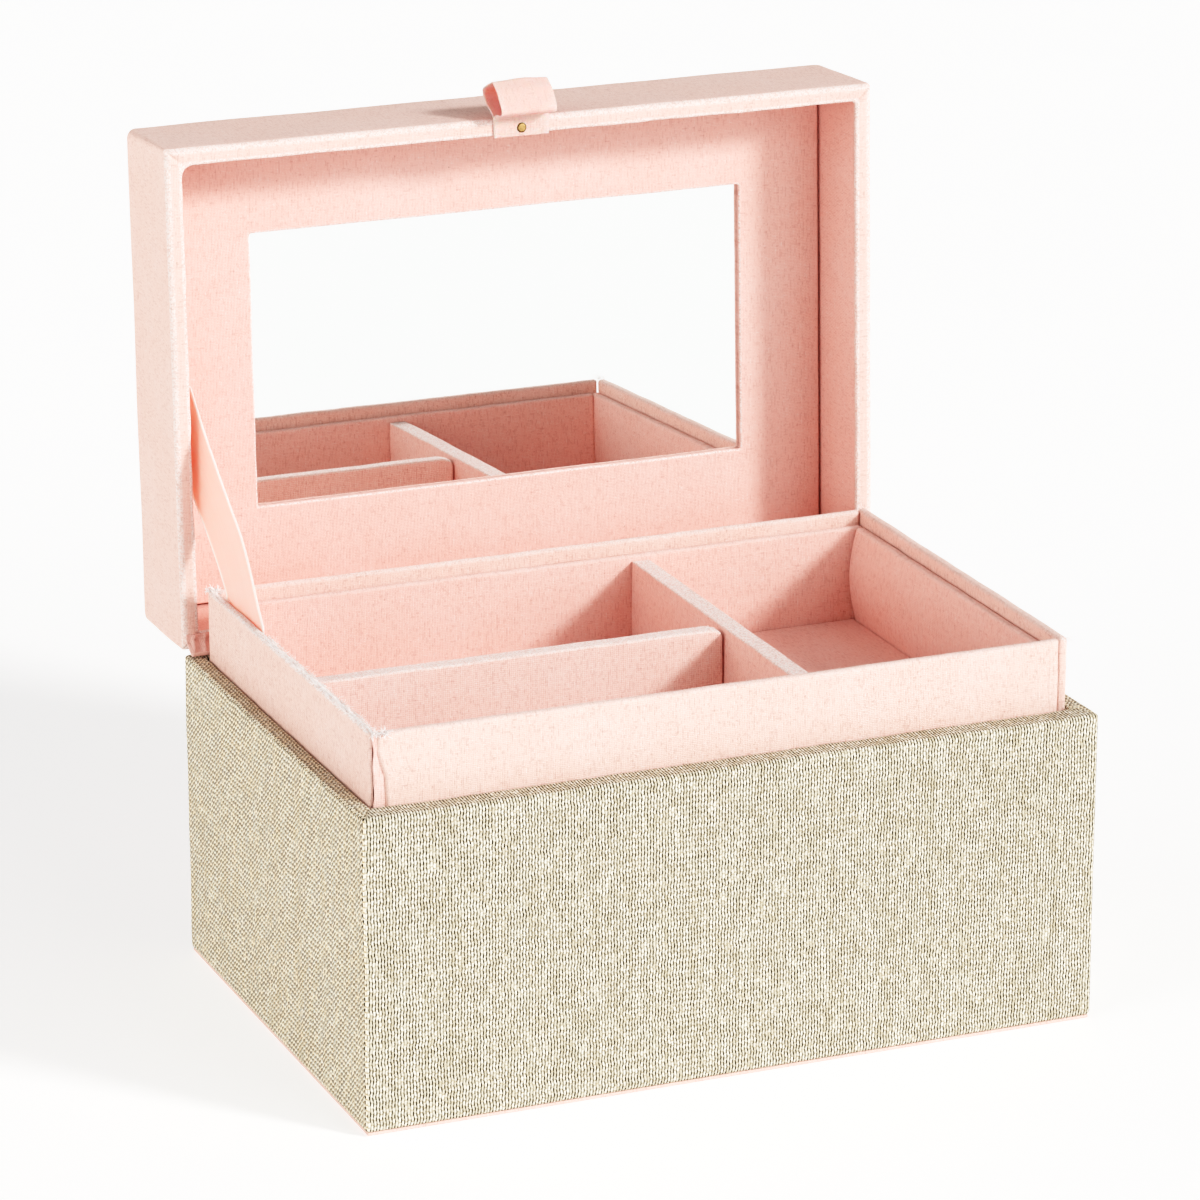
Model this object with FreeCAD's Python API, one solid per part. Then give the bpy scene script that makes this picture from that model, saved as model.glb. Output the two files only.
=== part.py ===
# Cloth-covered jewellery box, shown open: a canvas-covered base with a pink
# neck standing out of it, a lift-out tray with dividers, and a pink hinged lid
# that holds a framed mirror.  Millimetres, +Z up, +X to the viewer's right when
# facing the front, origin at the centre of the underside.
import FreeCAD, Part
import math
import os

os.makedirs("parts", exist_ok=True)
V = FreeCAD.Vector

# ---------------------------------------------------------------- dimensions
# base, outside the canvas
BASE_W, BASE_D, BASE_H = 240.0, 162.0, 100.0
CANVAS_T = 0.75            # canvas cover
BOTTOM_T = 1.0             # pink sheet under the box
BOTTOM_SET_BACK = 0.5      # sheet stops short of the canvas all round
SIDE_BOARD_T = 4.5         # left, right and back boards
FRONT_BOARD_T = 7.5        # thicker, so the lid's rim swings clear of the neck
FLOOR_BOARD_T = 4.0
TURN_IN = 12.0             # canvas turned in over the rim and under the floor
CORNER_R = 1.6             # canvas at the upright corners

# neck (the pink inner box that stands proud of the rim)
NECK_T = 3.0
NECK_RISE = 22.5
NECK_TOP_R = 1.2

# ledge boards that carry the tray, and the pad on the floor
LEDGE_T = 2.5
TRAY_SEAT_Z = 84.45
PAD_T = 2.0

# lift-out tray
TRAY_GAP = 0.8             # to the neck, each side
TRAY_SEAT_GAP = 0.05
TRAY_FLOOR_T = 2.4
TRAY_WALL_T = 2.4
TRAY_TOP_Z = 118.2
DIVIDER_T = 5.6
DIVIDER_TOP_Z = 116.4
CROSS_X = 31.0             # middle of the divider that runs front to back
LONG_Y = -3.0              # middle of the divider that runs left to right
LONG_GAP = 0.6             # it stops this far short of the cross divider

# hinge
OPEN_DEG = 92.2            # lid angle held by the ribbon
HINGE_Y = BASE_D / 2
HINGE_Z = BASE_H + 0.75
HINGE_R = 0.45             # bight of the cloth hinge round its axis

# lid, in its own directions: s forward from the hinge axis, t up from it when
# shut
LID_W = 240.4
LID_S0, LID_S1 = 0.3, 161.0
LID_T0, LID_T1 = 0.75, 42.5
LID_CLOTH_T = 0.7
LID_BOARD_T = 3.0
LID_TURN_T, LID_TURN_IN = 0.5, 11.0
LID_LINING_T = 0.8
LINING_SET_IN = 1.0        # lining starts this far inside the rim
LID_EDGE_R = 5.0           # wadded top edges
LID_CORNER_R = 1.6
WADDING_T = 2.5
TOP_BOARD_T = 3.0
TOP_BOARD_IN = 0.9         # top board is smaller, so the wadding rounds over it

# mirror
PANEL_T0, PANEL_T = 29.5, 2.2
PANEL_GAP = 0.5
WINDOW_W, WINDOW_L, WINDOW_S, WINDOW_R = 170.0, 89.0, 82.0, 3.0
MIRROR_T, MIRROR_LAP = 2.5, 6.0
MIRROR_GAP = 0.3
BACKING_T = 2.1

# pull tab and its nail
TAB_X, TAB_W, TAB_T = -2.1, 18.6, 0.45
TAB_S0 = 154.9             # tail, just inside the rim
# the loop's line in s, t: out round the rim's edge, a full front, a creased top
# and a flatter back
TAB_LOOP = [
    (161.25, 0.075), (162.75, -0.55), (163.0, -3.2), (163.5, -6.0), (164.7, -7.7), (166.1, -7.6),
    (168.0, -5.7), (170.3, -3.2), (171.9, -0.8), (172.75, 1.2), (171.2, 5.2), (169.4, 9.0),
    (167.9, 9.1), (166.4, 8.1), (164.4, 5.4), (162.9, 2.9), (161.8, 1.0), (161.25, 0.525),
]
NAIL_S, NAIL_R, NAIL_L, NAIL_HEAD_R, NAIL_HEAD_H = 157.6, 0.6, 8.0, 1.6, 0.4

# ribbon stay, on the left
RIBBON_W, RIBBON_T = 22.0, 0.35
RIBBON_BASE_Y = 50.0       # middle of the ribbon where it leaves the neck
RIBBON_TAIL = 14.0         # tucked down between neck and tray
RIBBON_LID_S, RIBBON_LID_T = 80.0, 19.5   # middle of its end on the lid lining
RIBBON_GLUED = 9.0

# ------------------------------------------------------------------- helpers
nodes = {}


def box(x0, x1, y0, y1, z0, z1):
    return Part.makeBox(x1 - x0, y1 - y0, z1 - z0, V(x0, y0, z0))


def lbox(x0, x1, s0, s1, t0, t1):
    """A box in the shut lid."""
    return box(x0, x1, HINGE_Y - s1, HINGE_Y - s0, HINGE_Z + t0, HINGE_Z + t1)


def edges_where(shape, test):
    found = []
    for e in shape.Edges:
        b = e.BoundBox
        if test(b):
            found.append(e)
    return found


def upright(b):
    return b.ZLength > 1.0 and b.XLength < 1e-6 and b.YLength < 1e-6


def at_z(z):
    return lambda b: b.ZLength < 1e-6 and abs(b.ZMin - z) < 1e-6


def rounded_top(shape, z, r):
    return shape.makeFillet(r, edges_where(shape, at_z(z)))


def opened(shape):
    """Swings a lid piece from shut to the open pose."""
    s = shape.copy()
    s.rotate(V(0, HINGE_Y, HINGE_Z), V(1, 0, 0), -OPEN_DEG)
    return s


def lid_point(x, s, t):
    """Where a point of the shut lid is with the lid open."""
    a = math.radians(OPEN_DEG)
    return V(
        x,
        HINGE_Y - s * math.cos(a) + t * math.sin(a),
        HINGE_Z + s * math.sin(a) + t * math.cos(a),
    )


def prism(points, x0, x1):
    """A closed outline in Y, Z pulled along X."""
    w = Part.makePolygon([V(x0, y, z) for y, z in points] + [V(x0, *points[0])])
    return Part.Face(w).extrude(V(x1 - x0, 0, 0))


# ---------------------------------------------------------------------- base
HW, HD = BASE_W / 2, BASE_D / 2
z_floor0 = BOTTOM_T + CANVAS_T
z_floor1 = z_floor0 + FLOOR_BOARD_T
z_rim = BASE_H - CANVAS_T
in_x = CANVAS_T + SIDE_BOARD_T
in_front = CANVAS_T + FRONT_BOARD_T
in_back = CANVAS_T + SIDE_BOARD_T

nodes["bottom_sheet"] = box(
    -HW + BOTTOM_SET_BACK, HW - BOTTOM_SET_BACK,
    -HD + BOTTOM_SET_BACK, HD - BOTTOM_SET_BACK, 0, BOTTOM_T,
)
nodes["base_left_board"] = box(-HW + CANVAS_T, -HW + in_x, -HD + in_front, HD - in_back, z_floor0, z_rim)
nodes["base_right_board"] = box(HW - in_x, HW - CANVAS_T, -HD + in_front, HD - in_back, z_floor0, z_rim)
nodes["base_front_board"] = box(-HW + CANVAS_T, HW - CANVAS_T, -HD + CANVAS_T, -HD + in_front, z_floor0, z_rim)
nodes["base_back_board"] = box(-HW + CANVAS_T, HW - CANVAS_T, HD - in_back, HD - CANVAS_T, z_floor0, z_rim)
for n in ("base_front_board", "base_back_board"):
    # the outer corners are eased to suit the canvas
    ys = -HD + CANVAS_T if n == "base_front_board" else HD - CANVAS_T
    s = nodes[n]
    nodes[n] = s.makeFillet(
        CORNER_R - CANVAS_T,
        [e for e in s.Edges if upright(e.BoundBox) and abs(e.BoundBox.YMin - ys) < 1e-6],
    )
nodes["base_floor_board"] = box(-HW + in_x, HW - in_x, -HD + in_front, HD - in_back, z_floor0, z_floor1)

# canvas: wraps the four walls, turns in over the rim and under the floor
outer = box(-HW, HW, -HD, HD, BOTTOM_T, BASE_H)
outer = outer.makeFillet(CORNER_R, edges_where(outer, upright))
core = box(-HW + CANVAS_T, HW - CANVAS_T, -HD + CANVAS_T, HD - CANVAS_T, z_floor0, z_rim)
core = core.makeFillet(CORNER_R - CANVAS_T, edges_where(core, upright))
canvas = outer.cut(core)
mouth = box(
    -HW + in_x + CANVAS_T, HW - in_x - CANVAS_T,
    -HD + in_front + CANVAS_T, HD - in_back - CANVAS_T, z_floor1, BASE_H + 1,
)
hem = box(
    -HW + in_x, HW - in_x, -HD + in_front, HD - in_back, BASE_H - TURN_IN, BASE_H
).cut(mouth)
under = box(-HW + TURN_IN, HW - TURN_IN, -HD + TURN_IN, HD - TURN_IN, 0, z_floor0 + 0.1)
canvas = canvas.cut(mouth).cut(under).fuse(hem).removeSplitter()
nodes["base_cover_cloth"] = canvas

# neck: the side panels run through, the front and back panels fit between them
neck_x = HW - in_x - CANVAS_T            # outside of the neck
neck_front = -HD + in_front + CANVAS_T
neck_back = HD - in_back - CANVAS_T
neck_top = BASE_H + NECK_RISE


def neck_panel(x0, x1, y0, y1):
    return rounded_top(box(x0, x1, y0, y1, z_floor1, neck_top), neck_top, NECK_TOP_R)


nodes["neck_left_panel"] = neck_panel(-neck_x, -neck_x + NECK_T, neck_front, neck_back)
nodes["neck_right_panel"] = neck_panel(neck_x - NECK_T, neck_x, neck_front, neck_back)
nodes["neck_front_panel"] = neck_panel(-neck_x + NECK_T, neck_x - NECK_T, neck_front, neck_front + NECK_T)
nodes["neck_back_panel"] = neck_panel(-neck_x + NECK_T, neck_x - NECK_T, neck_back - NECK_T, neck_back)

# ledge boards inside the neck, and the floor pad between them
lx = neck_x - NECK_T
lf, lb = neck_front + NECK_T, neck_back - NECK_T
nodes["tray_ledge_left"] = box(-lx, -lx + LEDGE_T, lf, lb, z_floor1, TRAY_SEAT_Z)
nodes["tray_ledge_right"] = box(lx - LEDGE_T, lx, lf, lb, z_floor1, TRAY_SEAT_Z)
nodes["tray_ledge_front"] = box(-lx + LEDGE_T, lx - LEDGE_T, lf, lf + LEDGE_T, z_floor1, TRAY_SEAT_Z)
nodes["tray_ledge_back"] = box(-lx + LEDGE_T, lx - LEDGE_T, lb - LEDGE_T, lb, z_floor1, TRAY_SEAT_Z)
nodes["floor_pad"] = box(
    -lx + LEDGE_T, lx - LEDGE_T, lf + LEDGE_T, lb - LEDGE_T, z_floor1, z_floor1 + PAD_T
)

# ---------------------------------------------------------------------- tray
tx = lx - TRAY_GAP
tf, tb = lf + TRAY_GAP, lb - TRAY_GAP
tz0 = TRAY_SEAT_Z + TRAY_SEAT_GAP
tz1 = tz0 + TRAY_FLOOR_T
wt = TRAY_WALL_T
nodes["tray_floor"] = box(-tx, tx, tf, tb, tz0, tz1)


def tray_panel(x0, x1, y0, y1):
    return rounded_top(box(x0, x1, y0, y1, tz1, TRAY_TOP_Z), TRAY_TOP_Z, 0.9)


nodes["tray_left_wall"] = tray_panel(-tx, -tx + wt, tf, tb)
nodes["tray_right_wall"] = tray_panel(tx - wt, tx, tf, tb)
nodes["tray_front_wall"] = tray_panel(-tx + wt, tx - wt, tf, tf + wt)
nodes["tray_back_wall"] = tray_panel(-tx + wt, tx - wt, tb - wt, tb)
cross0, cross1 = CROSS_X - DIVIDER_T / 2, CROSS_X + DIVIDER_T / 2
nodes["cross_divider"] = rounded_top(
    box(cross0, cross1, tf + wt, tb - wt, tz1, DIVIDER_TOP_Z), DIVIDER_TOP_Z, 0.9
)
long_div = box(
    -tx + wt, cross0 - LONG_GAP, LONG_Y - DIVIDER_T / 2, LONG_Y + DIVIDER_T / 2, tz1, DIVIDER_TOP_Z
)
# its free end has a rounded top corner
end = edges_where(
    long_div,
    lambda b: b.ZLength < 1e-6 and abs(b.ZMin - DIVIDER_TOP_Z) < 1e-6
    and b.XLength < 1e-6 and abs(b.XMin - (cross0 - LONG_GAP)) < 1e-6,
)
nodes["long_divider"] = long_div.makeFillet(2.2, end)

# ----------------------------------------------------------------------- lid
LW = LID_W / 2
c, bt = LID_CLOTH_T, LID_BOARD_T
t_rim = LID_T0 + c                        # board edges sit on the rim cloth
t_board = LID_T1 - c - WADDING_T          # top face of the top board
t_wall = t_board - TOP_BOARD_T            # the walls end under it
i_s0, i_s1 = LID_S0 + c, LID_S1 - c       # inside the cover cloth
i_x = LW - c
b_s0, b_s1, b_x = i_s0 + bt, i_s1 - bt, i_x - bt      # inside the boards
l_s0, l_s1, l_x = b_s0 + LID_TURN_T, b_s1 - LID_TURN_T, b_x - LID_TURN_T  # behind the lining
n_s0, n_s1, n_x = l_s0 + LID_LINING_T, l_s1 - LID_LINING_T, l_x - LID_LINING_T  # clear inside

nodes["lid_front_board"] = lbox(-i_x, i_x, b_s1, i_s1, t_rim, t_wall)
nodes["lid_back_board"] = lbox(-i_x, i_x, i_s0, b_s0, t_rim, t_wall)
for n, ys in (("lid_front_board", HINGE_Y - i_s1), ("lid_back_board", HINGE_Y - i_s0)):
    s = nodes[n]
    nodes[n] = s.makeFillet(
        LID_CORNER_R - c,
        [e for e in s.Edges if upright(e.BoundBox) and abs(e.BoundBox.YMin - ys) < 1e-6],
    )
nodes["lid_left_board"] = lbox(-i_x, -b_x, b_s0, b_s1, t_rim, t_wall)
nodes["lid_right_board"] = lbox(b_x, i_x, b_s0, b_s1, t_rim, t_wall)
top = lbox(
    -i_x + TOP_BOARD_IN, i_x - TOP_BOARD_IN, i_s0 + TOP_BOARD_IN, i_s1 - TOP_BOARD_IN, t_wall, t_board
)
nodes["lid_top_board"] = top


def lid_block(inset, t0, edge_r, corner_r):
    """A block of the lid's outside shape, with round top edges and corners."""
    s = lbox(-LW + inset, LW - inset, LID_S0 + inset, LID_S1 - inset, t0, LID_T1 - inset)
    s = s.makeFillet(corner_r, edges_where(s, upright))
    z = HINGE_Z + LID_T1 - inset
    return s.makeFillet(edge_r, edges_where(s, at_z(z)))


lid_outer = lid_block(0, LID_T0, LID_EDGE_R, LID_CORNER_R)
lid_core = lid_block(c, t_rim, LID_EDGE_R - c, LID_CORNER_R - c)
cloth = lid_outer.cut(lid_core)
lid_mouth = lbox(-l_x, l_x, l_s0, l_s1, LID_T0 - 1, t_rim + LID_TURN_IN)
turn = lbox(-b_x, b_x, b_s0, b_s1, LID_T0, t_rim + LID_TURN_IN).cut(lid_mouth)
cloth = cloth.cut(lid_mouth).fuse(turn).removeSplitter()
slab = lbox(-LW, LW, LID_S0, LID_S1, t_wall, LID_T1)
nodes["lid_wadding"] = lid_core.common(slab).cut(top)

t_lining = LID_T0 + LINING_SET_IN
nodes["lid_lining_front"] = lbox(-l_x, l_x, n_s1, l_s1, t_lining, t_wall)
nodes["lid_lining_back"] = lbox(-l_x, l_x, l_s0, n_s0, t_lining, t_wall)
nodes["lid_lining_left"] = lbox(-l_x, -n_x, n_s0, n_s1, t_lining, t_wall)
nodes["lid_lining_right"] = lbox(n_x, l_x, n_s0, n_s1, t_lining, t_wall)

# mirror: a cloth-covered frame in front of the glass, a spacer round the glass
# and a card behind it
p_x, p_s0, p_s1 = n_x - PANEL_GAP, n_s0 + PANEL_GAP, n_s1 - PANEL_GAP
w_s0, w_s1 = WINDOW_S - WINDOW_L / 2, WINDOW_S + WINDOW_L / 2
window = lbox(-WINDOW_W / 2, WINDOW_W / 2, w_s0, w_s1, PANEL_T0 - 1, PANEL_T0 + PANEL_T + 1)
window = window.makeFillet(WINDOW_R, edges_where(window, upright))
nodes["mirror_frame_panel"] = lbox(-p_x, p_x, p_s0, p_s1, PANEL_T0, PANEL_T0 + PANEL_T).cut(window)
m_t0 = PANEL_T0 + PANEL_T
m_x, m_s0, m_s1 = WINDOW_W / 2 + MIRROR_LAP, w_s0 - MIRROR_LAP, w_s1 + MIRROR_LAP
nodes["mirror_glass"] = lbox(-m_x, m_x, m_s0, m_s1, m_t0, m_t0 + MIRROR_T)
g = MIRROR_GAP
nodes["mirror_spacer_frame"] = lbox(-p_x, p_x, p_s0, p_s1, m_t0, m_t0 + MIRROR_T).cut(
    lbox(-m_x - g, m_x + g, m_s0 - g, m_s1 + g, m_t0 - 1, m_t0 + MIRROR_T + 1)
)
nodes["mirror_backing_card"] = lbox(
    -p_x, p_x, p_s0, p_s1, m_t0 + MIRROR_T, m_t0 + MIRROR_T + BACKING_T
)

# pull tab: one strip folded into a loop, both ends nailed to the front rim
tab_x0, tab_x1 = TAB_X - TAB_W / 2, TAB_X + TAB_W / 2


def lid_prism(points):
    return prism([(HINGE_Y - s, HINGE_Z + t) for s, t in points], tab_x0, tab_x1)


stack = lbox(tab_x0, tab_x1, TAB_S0, TAB_LOOP[0][0], LID_T0 - 2 * TAB_T, LID_T0)


def offset_loop(points, d):
    """The loop's line moved sideways by d, for its inner and outer faces."""
    out = []
    n = len(points)
    for i in range(n):
        def normal(p, q):
            ds, dt = q[0] - p[0], q[1] - p[1]
            length = math.hypot(ds, dt)
            return (dt / length, -ds / length)
        before = normal(points[i - 1], points[i]) if i else None
        after = normal(points[i], points[i + 1]) if i < n - 1 else None
        a = before or after
        b = after or before
        k = 1 + a[0] * b[0] + a[1] * b[1]
        out.append((points[i][0] + d * (a[0] + b[0]) / k, points[i][1] + d * (a[1] + b[1]) / k))
    return out


loop_out = offset_loop(TAB_LOOP, TAB_T / 2)
loop_in = offset_loop(TAB_LOOP, -TAB_T / 2)
loop = lid_prism(loop_out + loop_in[::-1])
tab = stack.fuse(loop).removeSplitter()

# brass nail through the tab and the rim cloth into the edge of the front board
ny = HINGE_Y - NAIL_S
nz = HINGE_Z + LID_T0 - 2 * TAB_T
shank = Part.makeCylinder(NAIL_R, NAIL_L, V(TAB_X, ny, nz), V(0, 0, 1))
head = Part.makeCylinder(NAIL_HEAD_R, NAIL_HEAD_H, V(TAB_X, ny, nz - NAIL_HEAD_H), V(0, 0, 1))
low = [e for e in head.Edges if abs(e.BoundBox.ZMax - (nz - NAIL_HEAD_H)) < 1e-6]
head = head.makeFillet(NAIL_HEAD_H * 0.7, low)
nodes["tab_nail"] = head.fuse(shank).removeSplitter()
nodes["pull_tab"] = tab.cut(shank)
nodes["lid_cover_cloth"] = cloth.cut(shank)
nodes["lid_front_board"] = nodes["lid_front_board"].cut(shank)

lid_nodes = [n for n in nodes if n.startswith(("lid_", "mirror_"))] + ["pull_tab", "tab_nail"]
for n in lid_nodes:
    nodes[n] = opened(nodes[n])

# ------------------------------------------------------- hinge cloth, ribbon
# outer strip: glued down the back of the base and along the back of the lid,
# bending round the hinge axis
LEAF, STRIP_T = 15.0, 0.5
hx = HW - 4.0
leaf_a = box(-hx, hx, HINGE_Y, HINGE_Y + STRIP_T, HINGE_Z - LEAF, HINGE_Z)
leaf_b = opened(lbox(-hx, hx, LID_S0 - STRIP_T, LID_S0, 0, LEAF))
bight = Part.makeCylinder(HINGE_R, 2 * hx, V(-hx, HINGE_Y, HINGE_Z), V(1, 0, 0))
nodes["hinge_cloth_outer"] = leaf_a.fuse([leaf_b, bight]).removeSplitter()

# inner strip: covers the back rim of the base and the back rim of the lid,
# folded once in the gap between them
ix0 = n_x - 1.0
IN_T = 0.35
p0, p1 = lid_point(0, 1.7, LID_T0), lid_point(0, 1.7, LID_T0 - IN_T)
r0, r1 = lid_point(0, n_s0 - 0.2, LID_T0), lid_point(0, n_s0 - 0.2, LID_T0 - IN_T)
nodes["hinge_cloth_inner"] = prism(
    [
        (neck_back + 0.1, BASE_H), (HINGE_Y - 1.55, BASE_H), (p0.y, p0.z), (r0.y, r0.z),
        (r1.y, r1.z), (p1.y, p1.z + 0.12), (HINGE_Y - 1.75, BASE_H + IN_T), (neck_back + 0.1, BASE_H + IN_T),
    ],
    -ix0, ix0,
)

# ribbon stay: tucked between neck and tray, up to the lid's left lining
x_base = -lx + 0.05                    # face towards the neck
x_lid = -n_x
a_lid = lid_point(0, RIBBON_LID_S, RIBBON_LID_T)
foot = V(x_base, RIBBON_BASE_Y, neck_top)
tip = V(x_lid, a_lid.y, a_lid.z)
d2 = V(0, tip.y - foot.y, tip.z - foot.z)
span = d2.Length
d2.normalize()
side = V(0, d2.z, -d2.y)              # across the ribbon, in its plane
half = side * (RIBBON_W / 2)
# where the ribbon's edges cross the level of the neck's top
up_a = foot + side * (RIBBON_W / 2) - d2 * ((side * (RIBBON_W / 2)).z / d2.z)
up_b = foot - side * (RIBBON_W / 2) + d2 * ((side * (RIBBON_W / 2)).z / d2.z)


def plate(points, depth):
    """A flat outline given a thickness along +X."""
    w = Part.makePolygon(points + [points[0]])
    return Part.Face(w).extrude(V(depth, 0, 0))


lift = 1.2                            # stands straight for this far over the neck
tail = plate(
    [
        V(x_base, up_a.y, neck_top + lift), V(x_base, up_b.y, neck_top + lift),
        V(x_base, up_b.y, neck_top - RIBBON_TAIL), V(x_base, up_a.y, neck_top - RIBBON_TAIL),
    ],
    RIBBON_T,
)
# slanting run: a flat band whose two ends lie at the neck and at the lid lining
end_a = tip + half
end_b = tip - half
run_pts = [
    V(0, up_a.y, neck_top + lift), V(0, up_b.y, neck_top + lift),
    V(0, end_b.y, end_b.z), V(0, end_a.y, end_a.z),
]


def run_face(dx):
    """The run's outline with x found along its length, moved by dx."""
    out = []
    for i, r in enumerate(run_pts):
        x = x_base if i < 2 else x_lid
        out.append(V(x + dx, r.y, r.z))
    return out


def flat(*points):
    return Part.Face(Part.makePolygon(list(points) + [points[0]]))


k, m = run_face(0), run_face(RIBBON_T)
skin = [flat(k[0], k[1], k[2]), flat(k[0], k[2], k[3]), flat(m[0], m[1], m[2]), flat(m[0], m[2], m[3])]
skin += [flat(k[i], k[(i + 1) % 4], m[(i + 1) % 4], m[i]) for i in range(4)]
run = Part.makeSolid(Part.makeShell(skin))
if run.Volume < 0:
    run.reverse()
glue = plate(
    [V(x_lid, end_a.y, end_a.z), V(x_lid, end_b.y, end_b.z),
     V(x_lid, (end_b + d2 * RIBBON_GLUED).y, (end_b + d2 * RIBBON_GLUED).z),
     V(x_lid, (end_a + d2 * RIBBON_GLUED).y, (end_a + d2 * RIBBON_GLUED).z)],
    RIBBON_T,
)
nodes["ribbon_stay"] = tail.fuse([run, glue]).removeSplitter()

# -------------------------------------------------------------------- export
for f in os.listdir("parts"):
    if f.endswith(".step") and f[:-5] not in nodes:
        os.remove(os.path.join("parts", f))
total = 0.0
for name in sorted(nodes):
    s = nodes[name]
    solids = s.Solids
    ok = s.isValid() and len(solids) == 1 and solids[0].isClosed()
    b = s.BoundBox
    print(
        "%-22s solids %d valid %s vol %9.1f  x %7.2f %7.2f  y %7.2f %7.2f  z %7.2f %7.2f%s"
        % (name, len(solids), s.isValid(), s.Volume, b.XMin, b.XMax, b.YMin, b.YMax, b.ZMin, b.ZMax, "" if ok else "   <-- look")
    )
    total += s.Volume
    (solids[0] if len(solids) == 1 else s).exportStep(os.path.join("parts", name + ".step"))
print(len(nodes), "nodes,", round(total / 1000, 1), "cm3; ribbon span", round(span, 1))
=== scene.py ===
import math
import random

import bmesh
import bpy
from mathutils import Matrix, Vector, noise


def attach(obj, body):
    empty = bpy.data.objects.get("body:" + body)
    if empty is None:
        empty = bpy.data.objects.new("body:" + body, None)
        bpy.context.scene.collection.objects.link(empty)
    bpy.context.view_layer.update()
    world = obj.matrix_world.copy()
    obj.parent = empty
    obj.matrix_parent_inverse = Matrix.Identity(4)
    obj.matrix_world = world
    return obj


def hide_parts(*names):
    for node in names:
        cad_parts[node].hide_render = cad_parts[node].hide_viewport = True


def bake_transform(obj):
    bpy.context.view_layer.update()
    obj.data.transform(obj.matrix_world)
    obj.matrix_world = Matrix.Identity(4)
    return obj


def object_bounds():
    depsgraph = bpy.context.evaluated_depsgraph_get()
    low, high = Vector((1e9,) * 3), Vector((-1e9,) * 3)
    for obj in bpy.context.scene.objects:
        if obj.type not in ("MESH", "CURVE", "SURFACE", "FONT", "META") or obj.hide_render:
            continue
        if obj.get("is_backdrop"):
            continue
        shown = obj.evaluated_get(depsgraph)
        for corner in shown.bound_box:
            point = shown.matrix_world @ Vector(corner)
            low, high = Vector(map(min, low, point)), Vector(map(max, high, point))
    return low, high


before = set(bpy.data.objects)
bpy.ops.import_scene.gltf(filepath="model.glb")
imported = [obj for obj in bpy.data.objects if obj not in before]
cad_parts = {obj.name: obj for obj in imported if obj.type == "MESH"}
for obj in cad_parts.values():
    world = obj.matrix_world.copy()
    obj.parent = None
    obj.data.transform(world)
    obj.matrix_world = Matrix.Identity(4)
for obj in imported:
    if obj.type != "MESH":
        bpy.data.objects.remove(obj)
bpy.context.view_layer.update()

MM = 0.001
rng = random.Random(20)

# ------------------------------------------------------------------ dimensions
# the same numbers as the CAD model, in millimetres
HINGE_Y, HINGE_Z, OPEN = 81.0, 100.75, math.radians(92.2)
SIN, COS = math.sin(OPEN), math.cos(OPEN)
NECK_TOP = 122.5
TRAY_TOP = 118.2


def lid_point(x, s, t):
    """A place on the lid: across, forward from the hinge and up from it when shut."""
    return (x, HINGE_Y - s * COS + t * SIN, HINGE_Z + s * SIN + t * COS)


def smooth(a, b, x):
    t = min(1.0, max(0.0, (x - a) / (b - a)))
    return t * t * (3 - 2 * t)


def wobble(p, scale, amp, seed):
    n = noise.noise_vector(Vector(p) / scale + Vector((seed * 7.13, seed * 3.71, seed * 5.37)))
    return n * amp


def wave(x, scale, seed):
    return noise.noise(Vector((x / scale, seed * 3.17, seed * 1.31)))


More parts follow.
